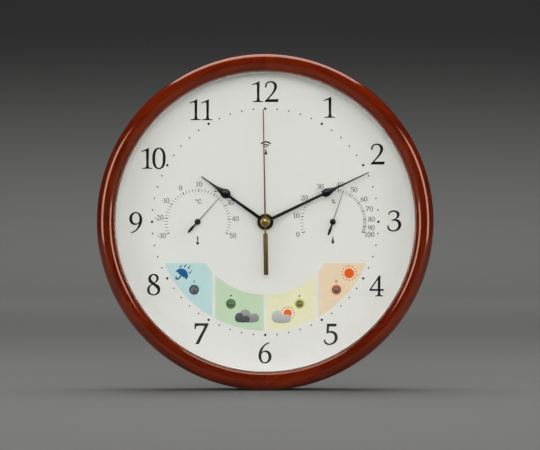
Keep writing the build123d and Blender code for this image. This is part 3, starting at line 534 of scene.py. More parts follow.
# %% Outlines of the figures
FIGURE_HEIGHT = 19.7
FIGURES = {
    "0": [[(32, 101), (48, 96), (59, 80), (63.5, 50), (59, 19), (48, 3), (32, -1.5), (16, 3), (5, 19),
           (0.5, 50), (5, 80), (16, 96)],
          [(32, 96.5), (42, 90), (49, 75), (51, 50), (49, 23), (42, 8), (32, 3), (22, 8), (15, 23),
           (13, 50), (15, 75), (22, 90)]],
    "1": [[(0, 84.5, "c"), (10, 88.5), (24, 94), (34.5, 100, "c"), (35.6, 99, "c"), (35.3, 60),
           (35.6, 12), (38, 5.5), (44, 3.4), (53, 2.6, "c"), (53, 0, "c"), (4.5, 0, "c"),
           (4.5, 2.6, "c"), (14, 3.6), (21, 6), (23.6, 12), (24, 50), (23.6, 78), (22.5, 84.6),
           (19, 86), (11, 84.6), (1.5, 81.2, "c")]],
    "2": [[(3, 70, "c"), (1.8, 76), (4, 86), (12, 95), (27, 99.8), (44, 97), (55, 88), (58.8, 76),
           (56, 63), (48, 49), (36, 34), (15, 11.8, "c"), (57, 12.4, "c"), (65.8, 13.6, "c"),
           (64, 0, "c"), (0, 0, "c"), (0, 3, "c"), (16, 20), (31, 38), (41, 54), (45.6, 68),
           (45, 81), (39, 90), (28, 94.3), (17, 92), (9.8, 84), (7.9, 76), (7.4, 70.5, "c")]],
    "3": [[(3, 82, "c"), (8, 91), (18, 98), (31, 100), (45, 97), (54, 90), (57, 80), (54, 70),
           (46, 62), (37, 57.6, "c"), (52, 54), (62, 44), (65.5, 31), (61, 15), (47, 3), (28, -1.5),
           (13, 1), (3.5, 7), (0, 16), (0, 27, "c"), (3.6, 27, "c"), (6.5, 16), (14, 7), (27, 3.6),
           (41, 8), (49.5, 18), (52, 31), (48, 43), (37, 50), (20, 51, "c"), (20, 54.5, "c"),
           (33, 58), (43, 67), (45.6, 78), (41.5, 89), (31, 94.3), (19, 92.3), (10, 86),
           (5.8, 80.5, "c")]],
    "4": [[(46, 100, "c"), (51.5, 100, "c"), (51.5, 34.5, "c"), (67, 34.5, "c"), (67, 27, "c"),
           (51.5, 27, "c"), (51.5, 10), (54.5, 4.8), (64, 2.8, "c"), (64, 0, "c"), (28, 0, "c"),
           (28, 2.8, "c"), (37, 4.8), (40, 10), (40, 27, "c"), (0, 27, "c"), (0, 32, "c")],
          [(40, 83, "c"), (40, 34.5, "c"), (7.5, 34.5, "c")]],
    "5": [[(15, 100, "c"), (60.5, 100, "c"), (58.5, 88, "c"), (24, 88, "c"), (22, 63.2, "c"), (34, 65),
           (50, 61), (61, 51), (65, 37), (61, 18), (46, 3.5), (26, -1.8), (12, 0.5), (3.5, 7),
           (0, 16), (0, 23, "c"), (3.6, 24, "c"), (7.5, 14), (15, 6.5), (27, 3.7), (41, 9),
           (49.5, 20), (52, 33), (49, 46.5), (40, 55), (28, 57.4), (18, 55.5), (12, 52.5, "c")]],
    "6": [[(54, 100, "c"), (38, 95), (21, 82), (7, 62), (0.5, 38), (3, 20), (13, 5), (30, -1.5),
           (48, 4), (59, 17), (62, 32), (58, 47), (48, 57), (35, 60), (24, 57.5), (14.8, 50.5, "c"),
           (19.5, 66), (30, 83), (42, 92), (52.8, 97, "c")],
          [(12.8, 34), (14.5, 45), (21, 52), (31, 54), (42, 49), (48.2, 38), (49, 27), (45, 12),
           (37, 5), (30, 3), (21, 6.5), (14.8, 18)]],
    "7": [[(1.5, 100, "c"), (67, 100, "c"), (67.5, 96, "c"), (54, 68), (36, 33), (21.5, 1.5, "c"),
           (5, -0.5, "c"), (22, 33), (40, 66), (50.5, 88, "c"), (14, 88), (7.5, 84), (5, 73, "c"),
           (0.5, 73, "c")]],
    "8": [[(31, 101), (46, 98), (54, 89), (55, 78), (49, 66), (39, 57), (53, 47), (61.5, 36),
           (62.5, 23), (56, 8), (43, 0), (30, -1.5), (14, 2), (3, 12), (0.5, 25), (4, 38),
           (12, 46.5), (20.5, 52.5), (11, 61), (6.5, 73), (8, 87), (17, 97)],
          [(31, 96), (23, 92), (18.5, 83), (20, 73), (26, 66), (34.5, 60.5), (42, 68), (45.5, 79),
           (42, 90)],
          [(26, 49), (16, 41.5), (11.5, 30), (12.5, 16), (20, 6), (32, 3), (43, 6.5), (50, 16),
           (49.5, 27), (43, 36.5), (34, 44)]],
}
FIGURES["9"] = [[(62 - p[0], 98.5 - p[1]) + tuple(p[2:]) for p in loop] for loop in FIGURES["6"]]

# %% Place the twelve numbers
NUMBERS = {
    "12": (0, 124.3, 25.1), "1": (61.1, 109.3, 10.3), "2": (107.6, 64.7, 13.5),
    "3": (123.5, 1.0, 13.4), "4": (106.3, -61.2, 13.3), "5": (62.5, -107.2, 12.7),
    "6": (0, -124.9, 12.7), "7": (-60.9, -106.8, 13.2), "8": (-106.5, -59.9, 12.4),
    "9": (-123.1, -0.6, 13.1), "10": (-106.7, 60.6, 23.0), "11": (-61.2, 107.0, 21.6),
}
FILM = (DIAL_FRONT, DIAL_FRONT + 0.05)


def printed(name, pieces, finish):
    """Join flat shapes into one print."""
    return keep(joined(name, pieces) if len(pieces) > 1 else pieces[0], finish)


figures = []
unit = FIGURE_HEIGHT / 100
for number, (x, z, width) in NUMBERS.items():
    lefts = [x - width / 2]
    if len(number) == 2:
        lefts.append(x + width / 2 - max(p[0] for p in FIGURES[number[1]][0]) * unit)
    for digit, left in zip(number, lefts):
        figures.append(flat_shape("figure", FIGURES[digit], *FILM, (left, z - FIGURE_HEIGHT / 2),
                                  scale=unit, bold=0.18))
printed("numerals", figures, ink_finish)
print(len(figures), "figures")

# %% [markdown]
# ## Minute dots
# Sixty dots mark the minutes, the twelve at the hours twice as large. One dot of each size is
# modelled and copied round the dial, each copy with its own mesh.

# %% Dots
DOT_R = 108.0


def copies(piece, places):
    """Copy a piece to (x, z, clock angle) places, in millimetres and degrees."""
    made = []
    for x, z, turn in places:
        other = piece.copy()
        other.data = piece.data.copy()
        bpy.context.scene.collection.objects.link(other)
        place = Matrix.Translation((x * MM, 0, z * MM))
        other.matrix_world = place @ Matrix.Rotation(radians(turn), 4, "Y")
        made.append(other)
    bpy.data.objects.remove(piece, do_unlink=True)
    return made


def ink_dot(radius, near=FILM[0], far=FILM[1], at=(0, 0), steps=24):
    """A round dot between two depths."""
    return lathe("dot", [(0, near), (radius, near), (radius, far), (0, far)], at, steps)


def round_dial(minutes):
    """The place of each minute's dot."""
    turns = [radians(6 * m) for m in minutes]
    return [(DOT_R * sin(turn), DOT_R * cos(turn), 0) for turn in turns]


hour_minutes = range(0, 60, 5)
printed("hour_dots", copies(ink_dot(1.2), round_dial(hour_minutes)), ink_finish)
small_minutes = [m for m in range(60) if m not in hour_minutes]
printed("minute_dots", copies(ink_dot(0.75), round_dial(small_minutes)), grey_ink_finish)

# %% [markdown]
# ## Instrument scales
# Each instrument has a scale of fine ticks, with a stronger tick and a figure at every tenth unit.
# The thermometer's scale is nearly even. The hygrometer's foil moves less per percent at the wet
# end. So the angles of the tens are in a short table, and those between are filled in.

# %% Ticks and small figures
THERMOMETER_ANGLES = [-111.6, -83.6, -55.8, -26.7, 2.0, 31.2, 59.4, 85.3, 111.6]
HYGROMETER_ANGLES = [-109.4, -80.4, -50.8, -21.1, 9.5, 32.3, 53.1, 70.1, 86.0, 99.0, 109.5]
TICKS = (28.6, 31.7)
SMALL_FIGURE = 4.7
FONT_CAPITALS = 0.73


def reading_angle(angles, first, reading):
    """The angle of a reading, from those of the tens on both sides of it."""
    tens = min((reading - first) // 10, len(angles) - 2)
    low, high = angles[tens], angles[tens + 1]
    return low + (high - low) * ((reading - first) / 10 - tens)


def upright_bar(width, low, high):
    """The corners of a bar that stands on the axis from one height to another."""
    half = width / 2
    return [(-half, low, "c"), (half, low, "c"), (half, high, "c"), (-half, high, "c")]


def tick(width):
    """A tick at the top of a scale."""
    return flat_shape("tick", [upright_bar(width, *TICKS)], *FILM)


def small_number(value, height, at):
    """A number in the dial's own figures, centred on a point."""
    pieces = []
    x = 0
    if value < 0:
        bar = [(0, 40, "c"), (26, 40, "c"), (26, 50, "c"), (0, 50, "c")]
        pieces.append((bar, -38))
    for digit in str(abs(value)):
        pieces += [(loop, x) for loop in FIGURES[digit]]
        x += max(p[0] for p in FIGURES[digit][0]) + 9
    middle = (x - 9) / 2
    loops = [[(p[0] + shift - middle, p[1] - 50) + tuple(p[2:]) for p in loop]
             for loop, shift in pieces]
    return flat_shape("number", loops, *FILM, at, scale=height / 100, bold=0.05, resolution=3)


def small_text(words, height, at):
    """A unit in Blender's own font, made a mesh."""
    clear_selection()
    bpy.ops.object.text_add(rotation=(pi / 2, 0, 0))
    writing = bpy.context.object
    writing.data.body = words
    writing.data.align_x, writing.data.align_y = "CENTER", "CENTER"
    writing.data.size = height * MM / FONT_CAPITALS
    writing.data.extrude = (FILM[1] - FILM[0]) * MM / 2
    writing.data.offset = 0.08 * MM
    writing.location = (at[0] * MM, -sum(FILM) / 2 * MM, at[1] * MM)
    bpy.ops.object.convert(target="MESH")
    piece = bpy.context.object
    apply_place(piece)
    tidy_mesh(piece, 0.002)
    return piece


def scale_print(name, x, readings, angles, figure_r, unit, shifts):
    """Print the ticks, the figures and the unit of one instrument."""
    tick_x, figure_x = x + shifts[0], x + shifts[1]
    turns = {value: reading_angle(angles, readings[0], value) for value in readings}
    minor = [(tick_x, 0, turns[v]) for v in readings if v % 10]
    major = [(tick_x, 0, turns[v]) for v in readings if v % 10 == 0]
    printed(name + "_fine_ticks", copies(tick(0.42), minor), grey_ink_finish)
    printed(name + "_ticks", copies(tick(0.78), major), ink_finish)
    labels = []
    for value in [v for v in readings if v % 10 == 0]:
        turn = radians(turns[value])
        place = (figure_x + figure_r * sin(turn), figure_r * cos(turn))
        labels.append(small_number(value, SMALL_FIGURE, place))
    labels.append(small_text(unit, 4.0, (x + 0.6, 19.2)))
    printed(name + "_figures", labels, ink_finish)


scale_print("thermometer", -INSTRUMENT_X, range(-30, 51, 2), THERMOMETER_ANGLES, 36.1, "°C",
            (0, -0.1))
scale_print("hygrometer", INSTRUMENT_X, range(0, 101, 2), HYGROMETER_ANGLES, 36.2, "%", (0.4, 0.8))

# %% [markdown]
# ## Forecast panels
# Four pale panels stand for rain, falling, rising and fair. Together they are a band of a ring
# below a straight edge, with white gaps between them. Each is turned as a ring and trimmed by
# bisecting it with planes.

# %% Trim a ring into four panels
PANEL_R = (69.6, 104.0)
PANEL_TOP = -39.4
PANEL_FILM = (DIAL_FRONT, DIAL_FRONT + 0.02)
SIDE_GAP_X = 49.2
HALF_GAP = 3.1 / 2
panel_edges = [(-120, -SIDE_GAP_X - HALF_GAP), (-SIDE_GAP_X + HALF_GAP, -HALF_GAP),
               (HALF_GAP, SIDE_GAP_X - HALF_GAP), (SIDE_GAP_X + HALF_GAP, 120)]
PANEL_INKS = [("rain", "#AFCFD1", "#B6D4D6"), ("falling", "#B5CDAE", "#BBD2B4"),
              ("rising", "#DBDAB5", "#E0DFBC"), ("fair", "#DDC7A8", "#E2CEB2")]


def flat_ring(name, inner, outer, near, far, at=(0, 0), steps=SMALL_STEPS):
    """A washer between two radii and two depths."""
    outline = [(inner, near), (outer, near), (outer, far), (inner, far)]
    return lathe(name, outline, at, steps)


def trim(piece, place, normal):
    """Cut away what lies beyond a plane, and close the cut."""
    take(piece)
    bpy.ops.object.mode_set(mode="EDIT")
    bpy.ops.mesh.select_all(action="SELECT")
    bpy.ops.mesh.bisect(plane_co=place, plane_no=normal, use_fill=True, clear_outer=True)
    bpy.ops.object.mode_set(mode="OBJECT")


for (start, end), (name, dark, light) in zip(panel_edges, PANEL_INKS):
    panel = flat_ring("panel_" + name, *PANEL_R, *PANEL_FILM, steps=FINE_STEPS)
    trim(panel, (0, 0, PANEL_TOP * MM), (0, 0, 1))
    trim(panel, (start * MM, 0, 0), (-1, 0, 0))
    trim(panel, (end * MM, 0, 0), (1, 0, 0))
    tidy_mesh(panel)
    bpy.ops.object.shade_flat()
    keep(panel, mottled(name + "_panel_ink", dark, light, 1.5, 0.001, roughness=0.6))

# %% [markdown]
# ## Weather signs
# Each panel has a small sign: an umbrella in the rain, dark clouds, a cloud with the sun behind
# it, and the sun. They are common signs, drawn here as flat shapes in a few inks.

# %% Sun, clouds and umbrella
SIGN = (DIAL_FRONT, DIAL_FRONT + 0.04)
SIGN_TOP = (DIAL_FRONT, DIAL_FRONT + 0.055)
CLOUD = [(-4.4, 0), (5.0, 0), (8.0, 1.0), (9.2, 4.0), (8.3, 6.6), (5.6, 8.0), (2.8, 7.5),
         (1.5, 6.8, "c"), (0.9, 9.2), (-1.2, 11.2), (-4.2, 11.7), (-7.4, 10.0), (-9.1, 6.4),
         (-8.8, 3.2), (-7.2, 0.9)]
CANOPY = [(-6.5, 0, "c"), (-6.0, 3.0), (-3.8, 5.7), (0, 6.9), (3.8, 5.7), (6.0, 3.0), (6.5, 0, "c"),
          (4.3, 0.7), (2.1, 0, "c"), (0, 0.7), (-2.1, 0, "c"), (-4.3, 0.7)]
HANDLE = [(-0.5, 0.8, "c"), (0.5, 0.8, "c"), (0.55, -3.2), (0.0, -4.8), (-1.4, -5.5),
          (-2.8, -4.8), (-3.35, -3.3, "c"), (-2.3, -3.2, "c"), (-2.05, -4.1), (-1.4, -4.45),
          (-0.75, -4.1), (-0.5, -3.2)]
RAIN_DROP = [(-0.13, 2.3, "c"), (0.13, 2.3, "c"), (0.2, 0.5), (0.62, -0.6), (0.45, -1.25),
             (0, -1.5), (-0.45, -1.25), (-0.62, -0.6), (-0.2, 0.5)]
DROP = [(0, 2.0, "c"), (0.42, 0), (0.62, -0.8), (0.36, -1.4), (0, -1.55), (-0.36, -1.4), (-0.62, -0.8),
        (-0.42, 0)]


def ink(name, code, roughness=0.6):
    """A printing ink whose film varies by a shade or two."""
    shade = "#" + "".join(f"{max(int(code[k:k + 2], 16) - 8, 0):02X}" for k in (1, 3, 5))
    return mottled(name, shade, code, 0.9, 0.002, roughness=roughness, specular_ior_level=0.2)


sun_ink = ink("orange_ink", "#DE5C06")
rain_ink = ink("blue_ink", "#125A90")
wet_ink = ink("dark_teal_ink", "#1C3E4C")


def shaded_ink(name, below, above, low, high):
    """An ink printed as a gradient, from one height on the dial to another in millimetres."""
    return graded(name, "Z", (low, high), (below, above), (0.1, 1.0), (900, 1), 0.12, roughness=0.6)


storm_ink = shaded_ink("slate_ink", "#2C2C2C", "#4A4A4B", -97, -88)
cloud_ink = shaded_ink("cloud_ink", "#6E6F70", "#949797", -97, -84)
haze_ink = shaded_ink("haze_ink", "#949494", "#B8B9BA", -98, -86)

UMBRELLA_AT = (-80.5, -51.4)
printed("umbrella_canopy", [flat_shape("canopy", [CANOPY], *SIGN_TOP, UMBRELLA_AT, 38)], rain_ink)
drop_places = [(-80.6, -42.4), (-76.4, -42.0), (-72.7, -43.5), (-71.4, -48.2)]
drops = [flat_shape("drop", [RAIN_DROP], *SIGN, place, 38, bold=0.1) for place in drop_places]
handle = flat_shape("handle", [HANDLE], *SIGN, UMBRELLA_AT, 38, bold=0.12)
printed("handle_and_drops", [handle] + drops, wet_ink)
printed("cloud_behind", [flat_shape("cloud", [CLOUD], *SIGN, (-15.4, -95.8), scale=1.04)], cloud_ink)
printed("storm_cloud", [flat_shape("cloud", [CLOUD], *SIGN_TOP, (-21.9, -95.8), scale=0.77)], storm_ink)
printed("cloud_before_sun", [flat_shape("cloud", [CLOUD], *SIGN_TOP, (15.4, -96.4))], haze_ink)


def sun_sign(name, at, radius, ray_r, ray_angles, length, width):
    """A round sun with short rays."""
    disc = ink_dot(radius, *SIGN, at, 48)
    bar = upright_bar(width, ray_r - length / 2, ray_r + length / 2)
    rays = copies(flat_shape("ray", [bar], *SIGN), [(*at, angle) for angle in ray_angles])
    printed(name, [disc] + rays, sun_ink)


sun_sign("sun_behind_cloud", (21.4, -87.4), 3.9, 6.1, range(-60, 160, 24), 1.8, 0.8)
sun_sign("sun", (80.1, -49.1), 4.66, 6.8, [360 * k / 14 for k in range(14)], 1.5, 1.1)

# %% [markdown]
# ## Small signs
# A mast with three waves marks the radio signal. Smaller common signs mark the rest: a thermometer
# and a drop below the instruments, and a drop, an arrow down, an arrow up and a ring above the
# lamps.

# %% Radio sign and small signs
SIGN_X = 0.7
MAST_TOP = 70.0
MAST = [(SIGN_X - 1.3, 64.2, "c"), (SIGN_X + 1.3, 64.2, "c"), (SIGN_X + 0.12, MAST_TOP, "c"),
        (SIGN_X - 0.12, MAST_TOP, "c")]
WAVES = [(6.3, 1.45, 46), (3.8, 1.1, 48), (2.0, 0.8, 48)]


def wave(radius, width, spread):
    """An arc of a ring about the mast's tip, as wide as the given clock angle on each side."""
    turns = [radians(spread * k / 4) for k in range(-4, 5)]
    loop = []
    for r, angles in ((radius + width / 2, turns), (radius - width / 2, turns[::-1])):
        for k, a in enumerate(angles):
            place = (SIGN_X + r * sin(a), MAST_TOP + r * cos(a))
            loop.append(place + ("c",) if k in (0, len(angles) - 1) else place)
    return loop


radio = [flat_shape("wave", [wave(*size)], *SIGN) for size in WAVES]
printed("radio_sign", [flat_shape("mast", [MAST], *SIGN)] + radio, ink_finish)
BULB = [(0.55, -1.6), (1.15, -2.2), (1.3, -3.0), (0.95, -4.0), (0, -4.4), (-0.95, -4.0),
        (-1.3, -3.0), (-1.15, -2.2), (-0.55, -1.6), (-0.55, 3.0), (0, 3.6), (0.55, 3.0)]
UP = [(-1.2, -0.8, "c"), (1.2, -0.8, "c"), (0, 1.2, "c")]
small_signs = [
    flat_shape("thermometer", [BULB], *SIGN, (-INSTRUMENT_X, -17.5)),
    flat_shape("drop", [DROP], *SIGN, (INSTRUMENT_X, -17.5), scale=2.2),
    flat_shape("drop", [DROP], *SIGN, (-67.9, -56.8), scale=0.85),
    flat_shape("down", [UP], *SIGN, (-32.8, -70.6), 180),
    flat_shape("up", [UP], *SIGN, (32.8, -70.6)),
    flat_ring("ring", 0.65, 1.15, *SIGN, (67.9, -56.8), 32),
]
printed("small_signs", small_signs, grey_ink_finish)

# %% [markdown]
# ## Forecast lamps
# Each lamp is a dome of smoked plastic in a coloured ring that is printed on the dial. The dome is
# a lathe piece with a flange behind the dial and a round shoulder. Its colour follows its height
# above the dial: dark towards its rim, a painted shade, and pale at its crown, a painted light.
# A black ring round each hole is a painted shade of the gap between the dial and the dome.

# %% Rings and lenses
RING_INKS = {"rain": "#164E6A", "falling": "#38862A", "rising": "#CCD024", "fair": "#DE5A12"}
RING_FILM = (DIAL_FRONT, DIAL_FRONT + 0.06)
LENS_R = 2.98
LENS_RIM = 26.5
LENS_CROWN = 28.35
# The lens's tone is painted darker towards its rim and paler at its crown: painted shade and painted
# light.
painted_shade_lens_finish = graded("smoked_lens_painted_shade", "Y", (-26.6, -LENS_CROWN), ("#0C0B0A", "#4E463F"), (0.1, 1.05),
                     (500, 1), 0.1, roughness=0.16, coat_weight=1.0, coat_roughness=0.08, coat_ior=2.2)
lens_outline = [(0, 24.15), (3.55, 24.15), (3.55, 24.95), (LENS_R, 24.95), (LENS_R, LENS_RIM)]
lens_outline += arc(0, LENS_RIM, LENS_R, LENS_CROWN - LENS_RIM, 8, 90, 12)
for name, place in LAMPS.items():
    colour = ink(name + "_ring_ink", RING_INKS[name], 0.4)
    # The black ring from 3.15 to 3.5 mm round each hole is a painted shade of the gap between the dial
    # and the lens.
    for part, inner, outer, finish in (("ring", 3.5, 4.7, colour), ("edge", 3.15, 3.5, ink_finish)):
        keep(flat_ring(f"lamp_{part}_{name}", inner, outer, *RING_FILM, place), finish)
    lens = lathe("lens_" + name, lens_outline, place)
    keep(lens, painted_shade_lens_finish, replaces=["lamp_" + name])

# %% [markdown]
# ## The hands
# Each hand is punched from sheet and pressed on a collet. The blade is a flat shape with a drop-
# shaped swell and a fine needle, the hub and collet are turned, and both are joined into one mesh.
# The black hands are enamelled, the second hand is lacquered gold and carries a brass cap.

# %% Blades and hubs
HOUR_SIDE = [(1.7, 0, "c"), (1.25, 41.6, "c"), (2.9, 42.6), (4.2, 44.4), (4.5, 46.5), (4.1, 48.5),
             (3.1, 50.4), (2.1, 52.8), (1.4, 56.4), (0.9, 62.0), (0.5, 74.3, "c")]
MINUTE_SIDE = [(1.65, 0, "c"), (1.2, 60.0, "c"), (2.6, 60.9), (3.7, 62.6), (4.0, 64.6), (3.6, 66.6),
               (2.7, 69.0), (1.8, 72.0), (1.15, 76.0), (0.85, 84.0), (0.5, 109.4, "c")]
SECOND_SIDE = [(2.15, -50.6, "c"), (2.15, -11.9, "c"), (0.78, -10.2, "c"), (0.78, -4.0, "c"),
               (0.78, 4.0, "c"), (0.52, 107.0, "c")]


def hand(name, side, thickness, hub, turn, finish, body):
    """Join a blade and its turned hub, and turn the hand to its clock angle."""
    blade = flat_shape(name, [mirrored(side)], *thickness, turn=turn, edge=0.08)
    blade = cut(blade, lathe("hub", hub), "UNION")
    smooth(blade, 30)
    return keep(blade, finish, body, replaces=[name])


hand("hour_hand", HOUR_SIDE, (31.2, 31.7), [(2.53, 29.2), (3.55, 29.2), (3.55, 31.25), (7.1, 31.25),
     (7.15, 31.35), (7.15, 31.6), (7.0, 31.7), (2.53, 31.7)], 305.4, enamel_finish, "hour_hand_body")
hand("minute_hand", MINUTE_SIDE, (33.4, 33.9), [(1.73, 32.1), (2.95, 32.1), (2.95, 33.45), (7.1, 33.45),
     (7.15, 33.55), (7.15, 33.8), (7.0, 33.9), (1.73, 33.9)], 64.5, enamel_finish, "minute_hand_body")
hand("second_hand", SECOND_SIDE, (35.8, 36.2), [(0.53, 34.4), (1.45, 34.4), (1.45, 35.85), (3.3, 35.85),
     (3.35, 36.1), (3.2, 36.2), (0.53, 36.2)], 359.0, gold_finish, "second_hand_body")
cap = lathe("domed_cap", [(0, 36.2), (4.85, 36.2), (4.85, 36.5)] + arc(0, 36.5, 4.85, 2.05, 6, 90, 14))
keep(cap, brass_finish, "second_hand_body", replaces=["hand_cap"])

# %% [markdown]
# ## Instrument pointers
# A pointer is a thin grey needle with a paddle for a counterweight, under a small black cap. It
# keeps the staff and the collet that the spiral behind the dial turns.

# %% Needles
def pointer(name, x, length, tail, turn, body):
    """Join a needle and its turned staff and cap, and turn the pointer to its clock angle."""
    side = [(0.7, -tail + 0.1, "c"), (1.25, -9.5), (1.15, -6.6), (0.6, -3.2, "c"), (0.33, 2.0, "c"),
            (0.22, length, "c")]
    needle = flat_shape(name, [mirrored(side)], 27.8, 28.1, (x, 0), turn, edge=0.05)
    staff = lathe("staff", [(0, 12.4), (0.55, 12.4), (0.55, 16.4), (1.22, 16.4), (1.22, 27.8),
                            (2.6, 27.8), (2.8, 28.1), (2.85, 29.0)]
                  + arc(0, 29.0, 2.85, 0.75, 10, 90, 8), (x, 0))
    cut(needle, staff, "UNION")
    smooth(needle, 30)
    keep(needle, enamel_finish, body, replaces=[name])


pointer("thermometer_needle", -INSTRUMENT_X, 30.5, 13.9, 41.8, "thermometer_body")
pointer("hygrometer_needle", INSTRUMENT_X, 31.7, 13.5, 18.8, "hygrometer_body")

# %% [markdown]
# ## Screws
# The cover and the hanger plate are held by pan-head screws with a cross recess. One screw is
# turned, its recess is cut, and it is copied to the places of the others.

# %% Pan-head screws
def screw(head_from, head_to, tip):
    """A screw on the hands' axis, its head towards the wall."""
    height = head_to - head_from
    head = [(0, head_from)] + [(r, head_to - 0.25 * height - d) for r, d in
                               reversed(arc(0, 0, 2.65, 0.75 * height, 12, 86, 8))]
    shank = [(2.65, head_to), (1.25, head_to), (1.25, tip - 1.2), (0, tip)]
    body = lathe("screw", head + shank, steps=48)
    for turn in (0, pi / 2):
        clear_selection()
        bpy.ops.mesh.primitive_cube_add(size=1, location=(0, -head_from * MM, 0),
                                        rotation=(0, turn, 0))
        blade = bpy.context.object
        blade.scale = (3.0 * MM, 1.7 * MM, 0.55 * MM)
        apply_place(blade)
        cut(body, blade)
    smooth(body, 30)
    return body


COVER_SCREW_R = 150.8
cover_turns = [radians(angle) for angle in (45, 135, 225, 315)]
cover_places = [(COVER_SCREW_R * cos(turn), COVER_SCREW_R * sin(turn), 0) for turn in cover_turns]
plate_places = [(-15.0, 123.5, 0), (15.0, 123.5, 0)]
screws = joined("cover_screws", copies(screw(2.3, 4.0, 15.4), cover_places))
keep(screws, zinc_finish, replaces=["back_cover_screws"])
screws = joined("plate_screws", copies(screw(1.3, 2.8, 11.9), plate_places))
keep(screws, zinc_finish, replaces=["hanger_screws"])

# %% [markdown]
# ## Cells
# An AA cell is a drawn steel can in a printed film, with a bead at both ends and a raised positive
# cap. The film has a gold band at that end. Each of a cell's parts is turned about the dial's axis
# and then laid along X, its cap to one side or the other. A plus and a minus sign above the
# movement's cell say which way it goes in.

# %% AA cells
CELL_R = 7.0
CELL_HALF = 24.4
BAND_FROM = 11.0


def aa_cell(name, at, depth, nub):
    """A cell that lies along X with its cap towards nub, as a film, its band and two bare ends."""
    film = [(0, -CELL_HALF + 0.6), (CELL_R - 0.9, -CELL_HALF + 0.6), (CELL_R - 0.7, -CELL_HALF),
            (CELL_R, -CELL_HALF + 0.8), (CELL_R, BAND_FROM), (0, BAND_FROM)]
    band = [(0, BAND_FROM), (CELL_R, BAND_FROM), (CELL_R, CELL_HALF - 0.8), (CELL_R - 0.7, CELL_HALF),
            (CELL_R - 0.9, CELL_HALF - 0.6), (0, CELL_HALF - 0.6)]
    steel_cap = [(0, CELL_HALF - 0.7), (5.6, CELL_HALF - 0.7), (5.6, CELL_HALF - 0.1),
                 (2.7, CELL_HALF - 0.1), (2.6, CELL_HALF + 1.3), (2.3, CELL_HALF + 1.55),
                 (0, CELL_HALF + 1.55)]
    base = [(0, -CELL_HALF - 0.05), (5.4, -CELL_HALF - 0.05), (5.6, -CELL_HALF + 0.7),
            (0, -CELL_HALF + 0.7)]
    place = Matrix.Translation((at[0] * MM, -depth * MM, at[1] * MM))
    lay = place @ Matrix.Rotation(-nub * pi / 2, 4, "Z")
    made = []
    for part, outline in (("film", film), ("band", band), ("cap", steel_cap), ("base", base)):
        piece = lathe(name + "_" + part, [(r, -d) for r, d in outline], steps=48)
        piece.matrix_world = lay
        made.append(piece)
    ends = joined(name + "_ends", made[2:])
    return made[0], made[1], ends


film, band, ends = aa_cell("battery_cell", (0, -36.75), 13.5, 1)
keep(film, wrapper_finish, replaces=["battery_cell"])
keep(band, band_finish)
keep(ends, nickel_finish)
films, bands, ends = zip(aa_cell("forecast_cell_a", (0, -75.9), 14.1, 1),
                         aa_cell("forecast_cell_b", (0, -91.6), 14.1, -1))
keep(joined("forecast_cell_films", list(films)), wrapper_finish, replaces=["forecast_cells"])
keep(joined("forecast_cell_bands", list(bands)), band_finish)
keep(joined("forecast_cell_ends", list(ends)), nickel_finish)

# %% Polarity signs above the movement's cell
BACK_FILM = (4.94, 5.02)
BAR = upright_bar(3.0, -0.35, 0.35)
POST = upright_bar(0.7, -1.5, 1.5)
polarity = [flat_shape("minus_sign", [BAR], *BACK_FILM, (-20.5, -24.0)),
            flat_shape("plus_bar", [BAR], *BACK_FILM, (20.5, -24.0)),
            flat_shape("plus_post", [POST], *BACK_FILM, (20.5, -24.0))]
keep(joined("polarity_signs", polarity), dial_finish)

# %% [markdown]
# ## Finishes of the CAD pieces
# The pieces that stay as CAD drew them only get a better finish. Wheels and plates are moulded
# acetal, the shells are black ABS, and the strips and plates are plated steel.

# %% Finish each CAD piece
cad_finishes = {
    cover_finish: ["back_cover", "battery_door"],
    shell_finish: ["movement_front_case", "movement_rear_case", "forecast_battery_box"],
    zinc_finish: ["hanger_plate", "battery_contact_positive", "battery_contact_negative",
                  "forecast_contacts"],
    acetal_finish: ["rear_plate", "middle_plate", "second_wheel", "second_drive_wheel", "minute_wheel",
                    "minute_drive_wheel", "minute_relay_wheel", "motion_wheel", "hour_wheel",
                    "receive_button", "set_button", "thermometer_bracket", "hygrometer_bracket"],
    brass_finish: ["arbor_bush", "fixing_nut", "hygrometer_coil"],
    iron_finish: ["second_stator", "minute_stator", "thermometer_coil"],
    copper_finish: ["second_coil", "minute_coil", "antenna_coil"],
    ferrite_finish: ["ferrite_antenna", "second_rotor", "minute_rotor"],
    board_finish: ["circuit_board", "forecast_board"],
    nickel_finish: ["quartz_crystal", "pressure_sensor"],
    rubber_finish: ["rubber_washer"],
    red_finish: ["reset_button"],
}
for finish, names in cad_finishes.items():
    for name in names:
        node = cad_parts[name]
        node.data.materials.clear()
        node.data.materials.append(finish)
print(sum(len(names) for names in cad_finishes.values()), "CAD pieces finished")
